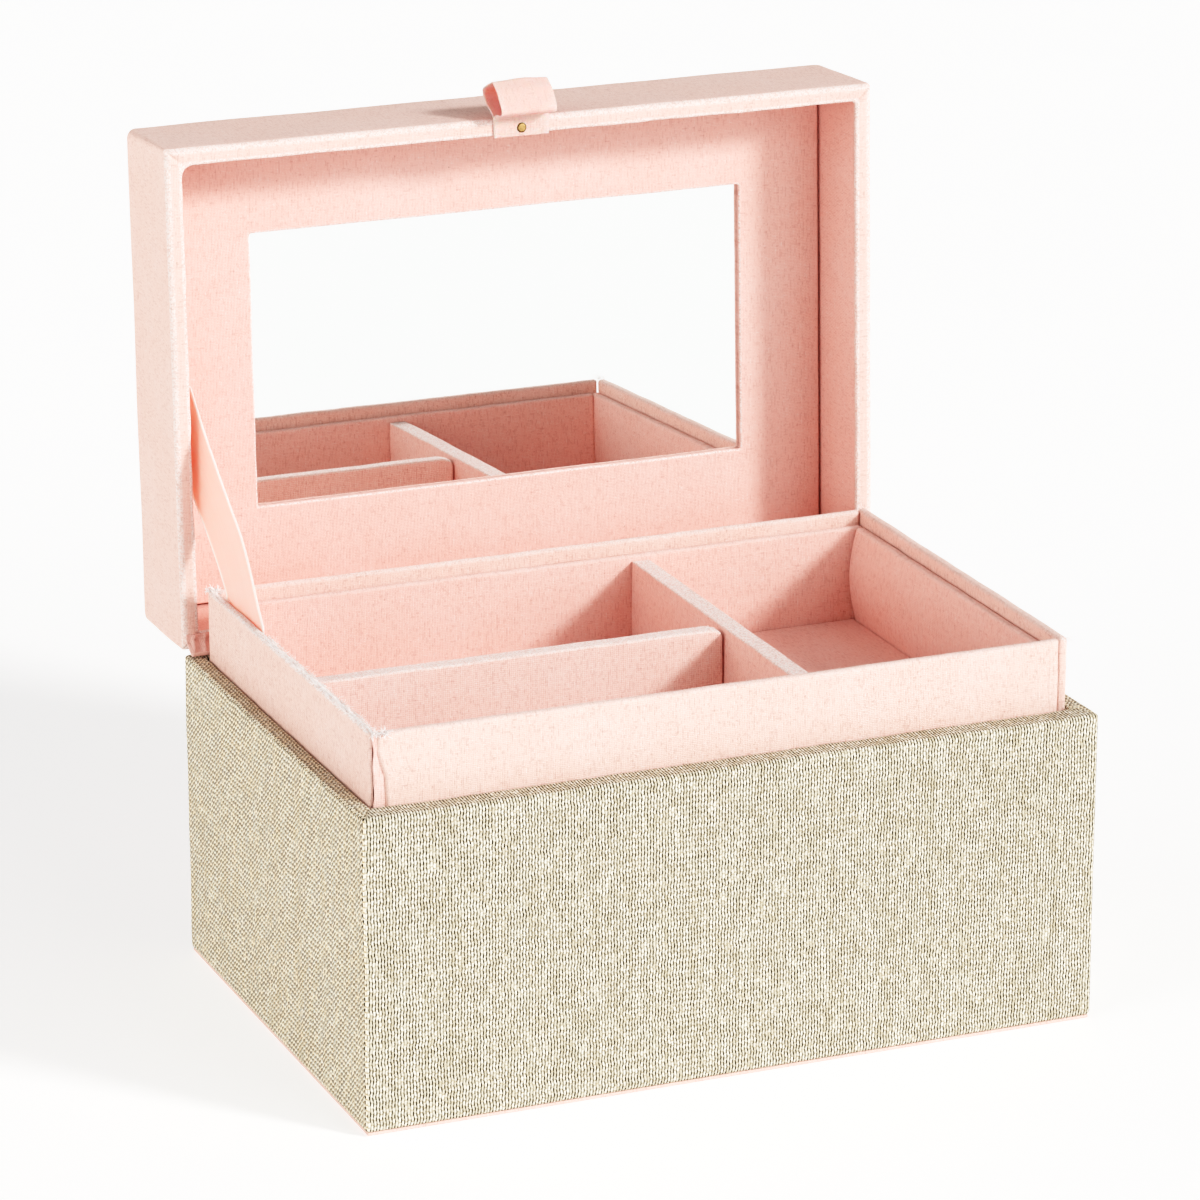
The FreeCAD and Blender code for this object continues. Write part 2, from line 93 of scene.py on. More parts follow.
# ------------------------------------------------------------------- materials
class Tree:
    """A material's node tree, with short ways to add the nodes used here."""

    def __init__(self, name):
        self.mat = bpy.data.materials.new(name)
        self.mat.use_nodes = True
        self.t = self.mat.node_tree
        self.t.nodes.clear()
        self.out = self.t.nodes.new("ShaderNodeOutputMaterial")
        self.bsdf = self.t.nodes.new("ShaderNodeBsdfPrincipled")
        self.t.links.new(self.bsdf.outputs[0], self.out.inputs[0])

    def node(self, kind, **props):
        n = self.t.nodes.new(kind)
        for k, v in props.items():
            setattr(n, k, v)
        return n

    def put(self, socket, value):
        if isinstance(value, bpy.types.NodeSocket):
            self.t.links.new(value, socket)
        else:
            socket.default_value = value

    def set(self, **values):
        for k, v in values.items():
            self.put(self.bsdf.inputs[k.replace("_", " ")], v)

    def m(self, op, a, b=None, c=None, clamp=False):
        n = self.node("ShaderNodeMath", operation=op, use_clamp=clamp)
        for i, v in enumerate((a, b, c)):
            if v is not None:
                self.put(n.inputs[i], v)
        return n.outputs[0]

    def vec(self, x, y, z=0.0):
        n = self.node("ShaderNodeCombineXYZ")
        for i, v in enumerate((x, y, z)):
            self.put(n.inputs[i], v)
        return n.outputs[0]

    def noise(self, vector, scale=1.0, detail=2.0, rough=0.5):
        n = self.node("ShaderNodeTexNoise", noise_dimensions="3D")
        self.put(n.inputs["Vector"], vector)
        n.inputs["Scale"].default_value = scale
        n.inputs["Detail"].default_value = detail
        n.inputs["Roughness"].default_value = rough
        return n.outputs[0]

    def white(self, w):
        n = self.node("ShaderNodeTexWhiteNoise", noise_dimensions="1D")
        self.put(n.inputs["W"], w)
        return n.outputs[0]

    def cell(self, x, y, z):
        n = self.node("ShaderNodeTexWhiteNoise", noise_dimensions="3D")
        self.put(n.inputs["Vector"], self.vec(x, y, z))
        return n.outputs[0]

    def step(self, x, lo, hi, a=0.0, b=1.0):
        n = self.node("ShaderNodeMapRange", interpolation_type="SMOOTHSTEP")
        for i, v in enumerate((x, lo, hi, a, b)):
            self.put(n.inputs[i], v)
        return n.outputs[0]

    def lerp(self, f, a, b):
        n = self.node("ShaderNodeMix", data_type="FLOAT")
        for i, v in zip((0, 2, 3), (f, a, b)):
            self.put(n.inputs[i], v)
        return n.outputs[0]

    def mix(self, f, a, b, kind="MIX"):
        n = self.node("ShaderNodeMix", data_type="RGBA", blend_type=kind)
        for i, v in zip((0, 6, 7), (f, a, b)):
            self.put(n.inputs[i], (*v, 1.0) if isinstance(v, tuple) else v)
        return n.outputs[2]

    def attr(self, name):
        return self.node("ShaderNodeAttribute", attribute_name=name).outputs["Fac"]

    def place(self):
        return self.node("ShaderNodeTexCoord").outputs["Object"]

    def uv(self):
        n = self.node("ShaderNodeSeparateXYZ")
        self.put(n.inputs[0], self.node("ShaderNodeUVMap", uv_map="UVMap").outputs[0])
        return n.outputs[0], n.outputs[1]

    def bump(self, height, distance, strength=1.0, under=None):
        n = self.node("ShaderNodeBump")
        n.inputs["Strength"].default_value = strength
        n.inputs["Distance"].default_value = distance
        self.put(n.inputs["Height"], height)
        if under is not None:
            self.put(n.inputs["Normal"], under)
        return n.outputs[0]


def weave(T, u, v, pu, pv, seed, wander=0.5, fat=0.86):
    """A plain weave with yarns pu and pv millimetres apart: its height from 0 to 1,
    a random number for each yarn, one for each crossing, and how thick the yarn
    is just there."""
    sway_u = T.noise(T.vec(T.m("MULTIPLY", u, 0.05), T.m("MULTIPLY", v, 0.13), seed), 1.0, 2.0)
    sway_v = T.noise(T.vec(T.m("MULTIPLY", u, 0.13), T.m("MULTIPLY", v, 0.05), seed + 8.3), 1.0, 2.0)
    cu = T.m("ADD", T.m("DIVIDE", u, pu), T.m("MULTIPLY_ADD", sway_u, 2 * wander, -wander))
    cv = T.m("ADD", T.m("DIVIDE", v, pv), T.m("MULTIPLY_ADD", sway_v, 2 * wander, -wander))
    iu, iv = T.m("FLOOR", cu), T.m("FLOOR", cv)
    fu = T.m("ABSOLUTE", T.m("MULTIPLY_ADD", T.m("FRACT", cu), 2.0, -1.0))
    fv = T.m("ABSOLUTE", T.m("MULTIPLY_ADD", T.m("FRACT", cv), 2.0, -1.0))
    up = T.m("FLOORED_MODULO", T.m("ADD", iu, iv), 2.0)
    across, along = T.lerp(up, fv, fu), T.lerp(up, fu, fv)
    ru = T.white(T.m("MULTIPLY_ADD", iu, 1.37, seed))
    rv = T.white(T.m("MULTIPLY_ADD", iv, 1.37, seed + 51.7))
    rand = T.lerp(up, rv, ru)
    slub_u = T.noise(T.vec(T.m("MULTIPLY", iu, 3.7), T.m("MULTIPLY", v, 0.11), seed + 2.0), 1.0, 2.0)
    slub_v = T.noise(T.vec(T.m("MULTIPLY", u, 0.11), T.m("MULTIPLY", iv, 3.7), seed + 4.0), 1.0, 2.0)
    slub = T.lerp(up, slub_v, slub_u)
    thick = T.m("MULTIPLY_ADD", slub, 0.42, fat - 0.21)
    a = T.m("MINIMUM", T.m("DIVIDE", across, thick), 1.0)
    h1 = T.m("SQRT", T.m("SUBTRACT", 1.0, T.m("MULTIPLY", a, a)))
    h2 = T.m("MULTIPLY_ADD", T.m("MULTIPLY", along, along), -0.45, 1.0)
    return T.m("MULTIPLY", h1, h2), rand, T.cell(iu, iv, seed), slub


def canvas_material(name, rib_dark, rib_pale, weft, gap, seed, pu=0.973, pv=1.746, dash=0.54, between=0.48, slit=0.38):
    """Natural canvas: round yarns pu millimetres apart, with a short dark slot
    between them at every pick, pv millimetres along. dash is how much of the pick
    the slot takes up, between how dark the rest of it is, and slit how narrow it is."""
    T = Tree(name)
    u, v = T.uv()
    sway = T.noise(T.vec(T.m("MULTIPLY", u, 0.06), T.m("MULTIPLY", v, 0.16), seed), 1.0, 2.0)
    lift = T.noise(T.vec(T.m("MULTIPLY", u, 0.16), T.m("MULTIPLY", v, 0.06), seed + 8.0), 1.0, 2.0)
    cv = T.m("ADD", T.m("DIVIDE", v, pv), T.m("MULTIPLY_ADD", lift, 0.9, -0.45))
    cu = T.m("ADD", T.m("DIVIDE", u, pu), T.m("MULTIPLY_ADD", sway, 0.9, -0.45))
    cu = T.m("ADD", cu, T.m("MULTIPLY_ADD", T.m("PINGPONG", cv, 1.0), 0.24, -0.12))
    iu, ig = T.m("FLOOR", cu), T.m("FLOOR", T.m("ADD", cu, 0.5))
    fu = T.m("ABSOLUTE", T.m("MULTIPLY_ADD", T.m("FRACT", cu), 2.0, -1.0))

    def rows(index, ahead):
        offset = T.m("MULTIPLY_ADD", T.m("FLOORED_MODULO", index, 2.0), 0.34, T.m("MULTIPLY_ADD", T.white(T.m("MULTIPLY_ADD", index, 2.17, seed)), 0.12, ahead))
        place_ = T.m("ADD", cv, offset)
        return T.m("FLOOR", place_), T.m("ABSOLUTE", T.m("MULTIPLY_ADD", T.m("FRACT", place_), 2.0, -1.0))

    row, bead = rows(iu, 0.0)
    slot_row, slot_at = rows(ig, 0.5)
    rib_rand, pick_rand = T.white(T.m("MULTIPLY_ADD", iu, 1.37, seed)), T.cell(iu, row, seed)
    slot_rand, slot_more = T.cell(ig, slot_row, seed + 5.0), T.cell(ig, slot_row, seed + 9.0)
    slub = T.noise(T.vec(T.m("MULTIPLY", iu, 3.7), T.m("MULTIPLY", v, 0.12), seed + 2.0), 1.0, 2.0)
    width = T.m("MULTIPLY_ADD", slot_more, 0.14, T.m("MULTIPLY_ADD", slub, 0.12, slit))
    slot = T.step(fu, width, T.m("ADD", width, 0.26))
    reach = T.m("MULTIPLY_ADD", slot_rand, 0.24, dash - 0.12)
    crossed = T.step(slot_at, reach, T.m("ADD", reach, 0.24), 1.0, between)
    there = T.step(slot_rand, 0.02, 0.16, 0.35, 1.0)
    dark = T.m("MULTIPLY", T.m("MULTIPLY", slot, crossed), there, clamp=True)
    tone = T.m("MULTIPLY_ADD", pick_rand, 0.75, T.m("MULTIPLY", rib_rand, 0.25))
    rib = T.mix(tone, rib_dark, rib_pale)
    rib = T.mix(T.step(bead, 0.55, 0.92, 0.0, 0.95), rib, weft)
    cloud = T.noise(T.vec(T.m("MULTIPLY", u, 0.16), T.m("MULTIPLY", v, 0.12), seed + 4.0), 1.0, 4.0, 0.65)
    rib = T.mix(T.step(cloud, 0.42, 0.70, 0.0, 0.18), rib, tuple(min(0.98, c * 1.12) for c in rib_pale))
    colour = T.mix(dark, rib, gap)
    height = T.m("MULTIPLY", T.m("SUBTRACT", 1.0, T.m("MULTIPLY", fu, fu)), T.m("MULTIPLY_ADD", T.m("MULTIPLY", bead, bead), -0.45, 1.0))
    T.set(Base_Color=colour, Roughness=T.lerp(height, 0.98, 0.86))
    T.bsdf.inputs["Specular IOR Level"].default_value = 0.15
    T.bsdf.inputs["Sheen Weight"].default_value = 0.10
    T.bsdf.inputs["Sheen Roughness"].default_value = 0.55
    T.bsdf.inputs["Sheen Tint"].default_value = (1.0, 0.94, 0.82, 1.0)
    fuzz = T.noise(T.vec(u, v, 1.0), 2.6, 3.0, 0.7)
    total = T.m("MULTIPLY_ADD", fuzz, 0.25, T.m("SUBTRACT", height, T.m("MULTIPLY", dark, 0.5)))
    T.set(Normal=T.bump(total, 0.00035, 0.9))
    return T.mat


def cotton_material(name, deep, pale, seed, pitch=0.50, sheen=0.2, through_light=0.0, marks=1.0, gap=1.0, reach=0.0012):
    """Pink cotton: a fine plain weave whose yarns show as thin broken lines, some
    deeper and some paler, with the odd brown speck and edges worn to a pale fuzz."""
    T = Tree(name)
    u, v = T.uv()
    height, rand, grain, slub = weave(T, u, v, pitch, pitch * 1.04, seed, 0.5, 0.92)
    cu, cv = T.m("DIVIDE", u, 0.54), T.m("DIVIDE", v, 0.58)
    iu, iv = T.m("FLOOR", cu), T.m("FLOOR", cv)
    thin_u = T.step(T.m("ABSOLUTE", T.m("MULTIPLY_ADD", T.m("FRACT", cu), 2.0, -1.0)), 0.95, 0.55)
    thin_v = T.step(T.m("ABSOLUTE", T.m("MULTIPLY_ADD", T.m("FRACT", cv), 2.0, -1.0)), 0.95, 0.55)
    run_u = T.noise(T.vec(T.m("MULTIPLY", iu, 5.3), T.m("MULTIPLY", v, 0.34), seed + 1.0), 1.0, 3.0, 0.65)
    run_v = T.noise(T.vec(T.m("MULTIPLY", u, 0.34), T.m("MULTIPLY", iv, 5.3), seed + 6.0), 1.0, 3.0, 0.65)
    light = tuple(min(0.98, 0.50 * c + 0.49) for c in pale)
    line = tuple(c * k for c, k in zip(deep, (0.72, 0.63, 0.61)))
    low, high = tuple(c * (1.0 - 0.06 * marks) for c in deep), tuple(min(0.985, c * (1.0 + 0.05 * marks)) for c in pale)
    tone = T.m("MULTIPLY_ADD", grain, 0.5, T.m("MULTIPLY", rand, 0.5))
    yarn = T.mix(T.lerp(min(1.0, 0.5 * marks), 0.5, tone), low, high)
    bright = T.m("ADD", T.m("MULTIPLY", thin_u, T.step(run_u, 0.42, 0.32)), T.m("MULTIPLY", thin_v, T.step(run_v, 0.40, 0.30)))
    yarn = T.mix(T.m("MULTIPLY", bright, min(0.8, 0.40 * marks), clamp=True), yarn, light)
    shade = T.m("ADD", T.m("MULTIPLY", thin_u, T.step(run_u, 0.51, 0.63)), T.m("MULTIPLY", thin_v, T.step(run_v, 0.57, 0.68)))
    yarn = T.mix(T.m("MULTIPLY", shade, min(1.0, 0.55 * marks), clamp=True), yarn, line)
    dark = tuple(c * (1.0 - k * gap) for c, k in zip(deep, (0.08, 0.18, 0.21)))
    colour = T.mix(T.step(height, 0.02, 0.48), dark, yarn)
    cloud = T.noise(T.vec(T.m("MULTIPLY", u, 0.04), T.m("MULTIPLY", v, 0.04), seed), 1.0, 3.0, 0.55)
    colour = T.mix(T.step(cloud, 0.38, 0.72, 0.0, 0.10), colour, light)
    spot = T.noise(T.vec(T.m("MULTIPLY", u, 0.66), T.m("MULTIPLY", v, 0.50), seed + 3.0), 1.0, 1.0)
    colour = T.mix(T.step(spot, 0.80, 0.83, 0.0, 0.60), colour, (0.42, 0.25, 0.18))
    # worn edges: pale fuzz with darker specks between
    ragged = T.noise(T.vec(u, v, seed + 5.0), 1.6, 4.0, 0.75)
    worn = T.m("MULTIPLY", T.attr("wear"), T.step(ragged, 0.34, 0.58), clamp=True)
    speck = T.cell(T.m("FLOOR", T.m("DIVIDE", u, 0.42)), T.m("FLOOR", T.m("DIVIDE", v, 0.42)), seed + 2.0)
    pith = T.mix(T.step(speck, 0.60, 0.95, 0.0, 0.75), (0.96, 0.91, 0.88), (0.62, 0.45, 0.38))
    colour = T.mix(worn, colour, pith)
    T.set(Base_Color=colour, Roughness=T.lerp(height, 0.95, 0.82))
    T.bsdf.inputs["Specular IOR Level"].default_value = 0.12
    T.bsdf.inputs["Sheen Weight"].default_value = sheen
    T.bsdf.inputs["Sheen Roughness"].default_value = 0.5
    T.bsdf.inputs["Sheen Tint"].default_value = (1.0, 0.97, 0.94, 1.0)
    fuzz = T.noise(T.vec(u, v, 2.0), 3.0, 3.0, 0.7)
    total = T.m("MULTIPLY_ADD", fuzz, 0.40, height)
    T.set(Normal=T.bump(total, 0.00014, 0.85))
    if through_light:
        T.bsdf.inputs["Subsurface Weight"].default_value = through_light
        T.bsdf.inputs["Subsurface Radius"].default_value = (1.0, 0.30, 0.22)
        T.bsdf.inputs["Subsurface Scale"].default_value = reach
    return T.mat


def ribbon_material():
    T = Tree("peach_ribbon")
    u, v = T.uv()
    rib = T.m("ABSOLUTE", T.m("MULTIPLY_ADD", T.m("FRACT", T.m("DIVIDE", v, 0.34)), 2.0, -1.0))
    edge = T.step(T.m("ABSOLUTE", u), 9.6, 10.5)
    streak = T.noise(T.vec(T.m("MULTIPLY", u, 1.1), T.m("MULTIPLY", v, 0.02), 2.0), 1.0, 3.0)
    colour = T.mix(streak, (0.96, 0.43, 0.37), (0.985, 0.53, 0.47))
    colour = T.mix(T.m("MULTIPLY", edge, 0.75), colour, (0.97, 0.85, 0.79))
    T.set(Base_Color=colour, Roughness=T.m("MULTIPLY_ADD", streak, 0.16, 0.40))
    T.bsdf.inputs["Sheen Weight"].default_value = 0.3
    T.bsdf.inputs["Sheen Roughness"].default_value = 0.35
    T.bsdf.inputs["Sheen Tint"].default_value = (1.0, 0.92, 0.88, 1.0)
    T.set(Normal=T.bump(T.m("MULTIPLY_ADD", edge, 1.2, rib), 0.00006, 0.7))
    T.bsdf.inputs["Subsurface Weight"].default_value = 0.8
    T.bsdf.inputs["Subsurface Radius"].default_value = (1.0, 0.33, 0.28)
    T.bsdf.inputs["Subsurface Scale"].default_value = 0.0030
    return T.mat


def board_material(name, dark, pale, seed):
    T = Tree(name)
    p = T.place()
    fibre = T.node("ShaderNodeMapping")
    T.put(fibre.inputs[0], p)
    fibre.inputs["Scale"].default_value = (260.0, 900.0, 900.0)
    fibre.inputs["Location"].default_value = (seed, seed, seed)
    n = T.noise(fibre.outputs[0], 1.0, 4.0, 0.7)
    big = T.noise(p, 60.0, 3.0)
    colour = T.mix(n, dark, pale)
    colour = T.mix(T.step(big, 0.4, 0.7, 0.0, 0.25), colour, pale)
    T.set(Base_Color=colour, Roughness=T.lerp(n, 0.95, 0.8))
    T.bsdf.inputs["Specular IOR Level"].default_value = 0.2
    T.set(Normal=T.bump(n, 0.00008, 0.6))
    return T.mat


def wadding_material():
    T = Tree("white_wadding")
    p = T.place()
    n = T.noise(p, 900.0, 5.0, 0.75)
    clump = T.noise(p, 140.0, 3.0)
    T.set(
        Base_Color=T.mix(n, (0.78, 0.77, 0.74), (0.95, 0.95, 0.93)),
        Roughness=T.lerp(clump, 0.9, 1.0),
        Normal=T.bump(T.m("ADD", n, clump), 0.0006, 0.8),
    )
    T.bsdf.inputs["Sheen Weight"].default_value = 0.5
    return T.mat


def mirror_material():
    T = Tree("silvered_mirror")
    p = T.place()
    haze = T.noise(p, 45.0, 4.0, 0.6)
    T.bsdf.inputs["Metallic"].default_value = 1.0
    T.set(
        Base_Color=T.mix(haze, (0.925, 0.945, 0.935), (0.945, 0.955, 0.948)),
        Roughness=T.step(haze, 0.45, 0.85, 0.008, 0.022),
    )
    return T.mat


def brass_material(name, bright, dull):
    T = Tree(name)
    p = T.place()
    n = T.noise(p, 2600.0, 4.0, 0.65)
    tarnish = T.noise(p, 900.0, 3.0)
    T.bsdf.inputs["Metallic"].default_value = 1.0
    T.set(
        Base_Color=T.mix(T.step(tarnish, 0.45, 0.75), bright, dull),
        Roughness=T.lerp(n, 0.26, 0.44),
        Normal=T.bump(n, 0.00003, 0.5),
    )
    return T.mat


def fluff_material():
    """Frayed cotton: a tangle of white fibres with a little shade between them."""
    T = Tree("frayed_white_cotton")
    p = T.place()
    strand = T.node("ShaderNodeMapping")
    T.put(strand.inputs[0], p)
    strand.inputs["Scale"].default_value = (3200.0, 900.0, 3200.0)
    strand.inputs["Rotation"].default_value = (0.0, 0.0, 0.35)
    n = T.noise(strand.outputs[0], 1.0, 4.0, 0.7)
    colour = T.mix(T.step(n, 0.34, 0.56), (0.97, 0.86, 0.82), (0.999, 0.945, 0.92))
    speck = T.noise(p, 1500.0, 2.0)
    colour = T.mix(T.step(speck, 0.60, 0.68, 0.0, 0.75), colour, (0.70, 0.50, 0.44))
    T.set(
        Base_Color=colour,
        Roughness=T.lerp(n, 0.95, 0.8),
        Normal=T.bump(n, 0.00003, 0.7),
    )
    T.bsdf.inputs["Specular IOR Level"].default_value = 0.1
    return T.mat


def fibre_material(name, a, b, sheen=0.4):
    T = Tree(name)
    n = T.noise(T.place(), 700.0, 2.0)
    T.set(Base_Color=T.mix(n, a, b), Roughness=T.lerp(n, 0.75, 0.95))
    T.bsdf.inputs["Sheen Weight"].default_value = sheen
    T.bsdf.inputs["Specular IOR Level"].default_value = 0.2
    return T.mat


PINK_DEEP, PINK_PALE = (0.90, 0.575, 0.495), (0.965, 0.685, 0.605)
CANVAS = canvas_material("natural_canvas", (0.54, 0.475, 0.345), (0.93, 0.87, 0.745), (0.49, 0.405, 0.265), (0.040, 0.030, 0.015), 3.0)
# painted light: a paler, warmer copy of the canvas for the box's left and right sides, standing in for how the light
# falls there; its slots are also shorter and narrower
CANVAS_SIDE_PAINTED_LIGHT = canvas_material("natural_canvas_side_painted_light", (0.98, 0.81, 0.57), (1.0, 0.965, 0.82), (0.48, 0.345, 0.18), (0.018, 0.010, 0.004), 6.0, dash=0.47, between=0.12, slit=0.17)
COTTON = cotton_material("pink_cotton", PINK_DEEP, PINK_PALE, 11.0, sheen=0.16, marks=0.8)
NECK = cotton_material("pink_neck_cloth", PINK_DEEP, PINK_PALE, 19.0, pitch=0.56, sheen=0.16, marks=1.0, gap=1.7)
PANEL = cotton_material("pink_panel_cloth", (0.94, 0.535, 0.465), (0.99, 0.665, 0.595), 27.0, sheen=0.08, marks=0.75)
TRAY = cotton_material("pink_tray_cloth", (0.94, 0.535, 0.465), (0.99, 0.675, 0.605), 23.0, pitch=0.56, sheen=0.12, marks=0.85, gap=1.5)
# painted light: a paler copy of the pink tray cloth for the long divider, whose front face stands in the light; its
# thread marks and gaps are also stronger
DIVIDER_PAINTED_LIGHT = cotton_material("pink_divider_cloth_painted_light", (0.94, 0.585, 0.515), (0.99, 0.73, 0.66), 31.0, pitch=0.62, sheen=0.14, marks=0.9, gap=2.3)
TAB = cotton_material("pink_tab_cloth", (0.93, 0.53, 0.465), (0.98, 0.645, 0.58), 35.0, sheen=0.12, through_light=0.7, marks=0.6)
# painted shade: a deeper, redder copy of the tab cloth for the inside of the loop and its left edge, standing in for
# the shade there
TAB_PAINTED_SHADE = cotton_material("pink_tab_painted_shade", (0.99, 0.42, 0.39), (0.995, 0.52, 0.48), 41.0, sheen=0.03, through_light=1.0, marks=0.4, reach=0.0032)
RIBBON = ribbon_material()
BOARD = board_material("grey_board", (0.36, 0.32, 0.26), (0.58, 0.53, 0.45), 2.0)
CARD = board_material("white_card", (0.62, 0.60, 0.55), (0.80, 0.78, 0.73), 5.0)
WADDING = wadding_material()
MIRROR = mirror_material()
BRASS = brass_material("aged_brass", (0.54, 0.34, 0.15), (0.30, 0.20, 0.09))
BRASS_RIM = brass_material("aged_brass_rim", (0.17, 0.11, 0.05), (0.09, 0.06, 0.03))
FLUFF = fluff_material()
FIBRE = fibre_material("loose_white_thread", (0.985, 0.89, 0.855), (0.999, 0.955, 0.935), 0.0)
PINK_FIBRE = fibre_material("loose_pink_thread", (0.88, 0.58, 0.52), (0.95, 0.74, 0.69))
CANVAS_FIBRE = fibre_material("loose_canvas_thread", (0.66, 0.56, 0.38), (0.92, 0.88, 0.76))


# ---------------------------------------------------------------- mesh helpers
class Shape:
    """Points in millimetres, faces, and for each face its places on the cloth."""

    def __init__(self):
        self.v, self.f, self.uv, self.wear, self.which = [], [], [], [], []

    def add(self, p, wear=0.0):
        self.v.append(tuple(p))
        self.wear.append(wear)
        return len(self.v) - 1

    def face(self, ids, uvs, which=0):
        self.f.append(tuple(ids))
        self.uv.append(list(uvs))
        self.which.append(which)

    def make(self, name, mat, lid=False, second=None):
        pts = [lid_point(*p) for p in self.v] if lid else self.v
        me = bpy.data.meshes.new(name)
        me.from_pydata([(x * MM, y * MM, z * MM) for x, y, z in pts], [], self.f)
        layer = me.uv_layers.new(name="UVMap")
        flat = [c for face in self.uv for pair in face for c in pair]
        layer.data.foreach_set("uv", flat)
        me.attributes.new("wear", "FLOAT", "POINT").data.foreach_set("value", self.wear)
        me.materials.append(mat)
        if second:
            me.materials.append(second)
            me.polygons.foreach_set("material_index", self.which)
        bm = bmesh.new()
        bm.from_mesh(me)
        bmesh.ops.recalc_face_normals(bm, faces=bm.faces)
        bm.to_mesh(me)
        bm.free()
        me.polygons.foreach_set("use_smooth", [True] * len(me.polygons))
        o = bpy.data.objects.new(name, me)
        bpy.context.scene.collection.objects.link(o)
        return o


def place(o, body, slot, *nodes):
    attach(o, body)
    if nodes:
        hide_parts(*nodes)
    return o


def stops(lo, hi, r, cell):
    """Where the grid lines of a rounded board lie along one of its directions."""
    r = min(r, (hi - lo) / 2 * 0.999)
    a = [lo, lo + 0.423 * r, lo + 0.732 * r, lo + r]
    b = [hi - x + lo for x in reversed(a)]
    inner = b[0] - a[-1]
    mid = []
    if inner > 1.2:
        a.append(a[-1] + 0.3)
        b.insert(0, b[0] - 0.3)
        inner -= 0.6
    n = max(1, round(inner / cell))
    mid = [a[-1] + inner * i / n for i in range(1, n)]
    out = a + mid + b
    return [x for i, x in enumerate(out) if i == 0 or x - out[i - 1] > 1e-6]


def rounded(lo, hi, r, cell=6.0, thin=None, wear_top=0.0, up_axis=2, bend=None, amp=0.12, grain=9.0, seed=1.0):
    """A cloth-covered board: a box with rounded edges, gently uneven, its cloth
    running over the edges. bend(x, y, z) gives each point's place."""
    S = Shape()
    r = min(r, min(h - l for l, h in zip(lo, hi)) / 2 * 0.98)
    grid = [stops(l, h, r, cell) for l, h in zip(lo, hi)]
    if thin is None:
        thin = min(range(3), key=lambda i: hi[i] - lo[i])
    flat_axes = [i for i in range(3) if i != thin]
    if up_axis in flat_axes:
        ua, va = [i for i in flat_axes if i != up_axis][0], up_axis
    else:
        ua, va = flat_axes
    ids = {}

    def point(key):
        if key in ids:
            return ids[key]
        p = [grid[i][key[i]] for i in range(3)]
        c = [min(max(p[i], lo[i] + r), hi[i] - r) for i in range(3)]
        d = Vector([p[i] - c[i] for i in range(3)])
        q = Vector(c) + (d.normalized() * r if d.length > 1e-9 else d)
        edge = min(1.0, max(0.0, (d.length / r - 1.0) / 0.30)) if r > 0 else 0.0
        wear = edge * 0.12
        if wear_top and up_axis is not None:
            wear = max(wear, wear_top * smooth(hi[up_axis] - r * 1.2, hi[up_axis] - r * 0.2, q[up_axis]))
        q = Vector(bend(*q)) if bend else q
        q += wobble(q, grain, amp, seed)
        ids[key] = S.add(q, wear)
        return ids[key]

    for axis in range(3):
        b, c = [i for i in range(3) if i != axis]
        for end in (0, len(grid[axis]) - 1):
            level = grid[axis][end]
            for i in range(len(grid[b]) - 1):
                for j in range(len(grid[c]) - 1):
                    keys = []
                    for di, dj in ((0, 0), (1, 0), (1, 1), (0, 1)):
                        k = [0, 0, 0]
                        k[axis], k[b], k[c] = end, i + di, j + dj
                        keys.append(tuple(k))
                    uvs = []
                    for k in keys:
                        p = [grid[n][k[n]] for n in range(3)]
                        w = p[thin] - lo[thin]
                        if axis == thin:
                            uvs.append((p[ua], p[va]))
                        elif axis == va:
                            uvs.append((p[ua], level + (w if end else -w)))
                        else:
                            uvs.append((level + (w if end else -w), p[va]))
                    S.face([point(k) for k in keys], uvs)
    return S


def spread(n, near):
    """Fractions along a side of length n, closer together near its ends."""
    ends = [0.0] + [d / n for d in near if d < n * 0.4]
    last = ends[-1]
    k = max(1, round((1 - 2 * last) * n / 6.0))
    mid = [last + (1 - 2 * last) * i / k for i in range(1, k)]
    return ends + mid + [1 - e for e in reversed(ends)]


def ring(x0, x1, y0, y1, r, fx, fy, nc):
    """Points round a rectangle with rounded corners: (x, y, side). r is one
    radius, or four, from the front right corner round to the front left."""
    ra, rb, rc, rd = r if isinstance(r, tuple) else (r, r, r, r)
    out = []

    def corner(cx, cy, rad, a0, s0, s1):
        for i in range(1, nc):
            a = math.radians(a0 + 90 * i / nc)
            out.append((cx + rad * math.cos(a), cy + rad * math.sin(a), s0 if i <= nc / 2 else s1))

    for f in fx:
        out.append((x0 + rd + (x1 - x0 - rd - ra) * f, y0, "F"))
    corner(x1 - ra, y0 + ra, ra, -90, "F", "R")
    for f in fy:
        out.append((x1, y0 + ra + (y1 - y0 - ra - rb) * f, "R"))
    corner(x1 - rb, y1 - rb, rb, 0, "R", "B")
    for f in fx:
        out.append((x1 - rb - (x1 - x0 - rb - rc) * f, y1, "B"))
    corner(x0 + rc, y1 - rc, rc, 90, "B", "L")
    for f in fy:
        out.append((x0, y1 - rc - (y1 - y0 - rc - rd) * f, "L"))
    corner(x0 + rd, y0 + rd, rd, 180, "L", "F")
    return out


def shift(path, h):
    """A line of (inset, height) points moved sideways by h."""
    out = []
    for i, p in enumerate(path):
        a, b = path[max(0, i - 1)], path[min(len(path) - 1, i + 1)]
        dx, dz = b[0] - a[0], b[1] - a[1]
        n = math.hypot(dx, dz) or 1.0
        out.append((p[0] - dz / n * h, p[1] + dx / n * h) + tuple(p[2:]))
    return out


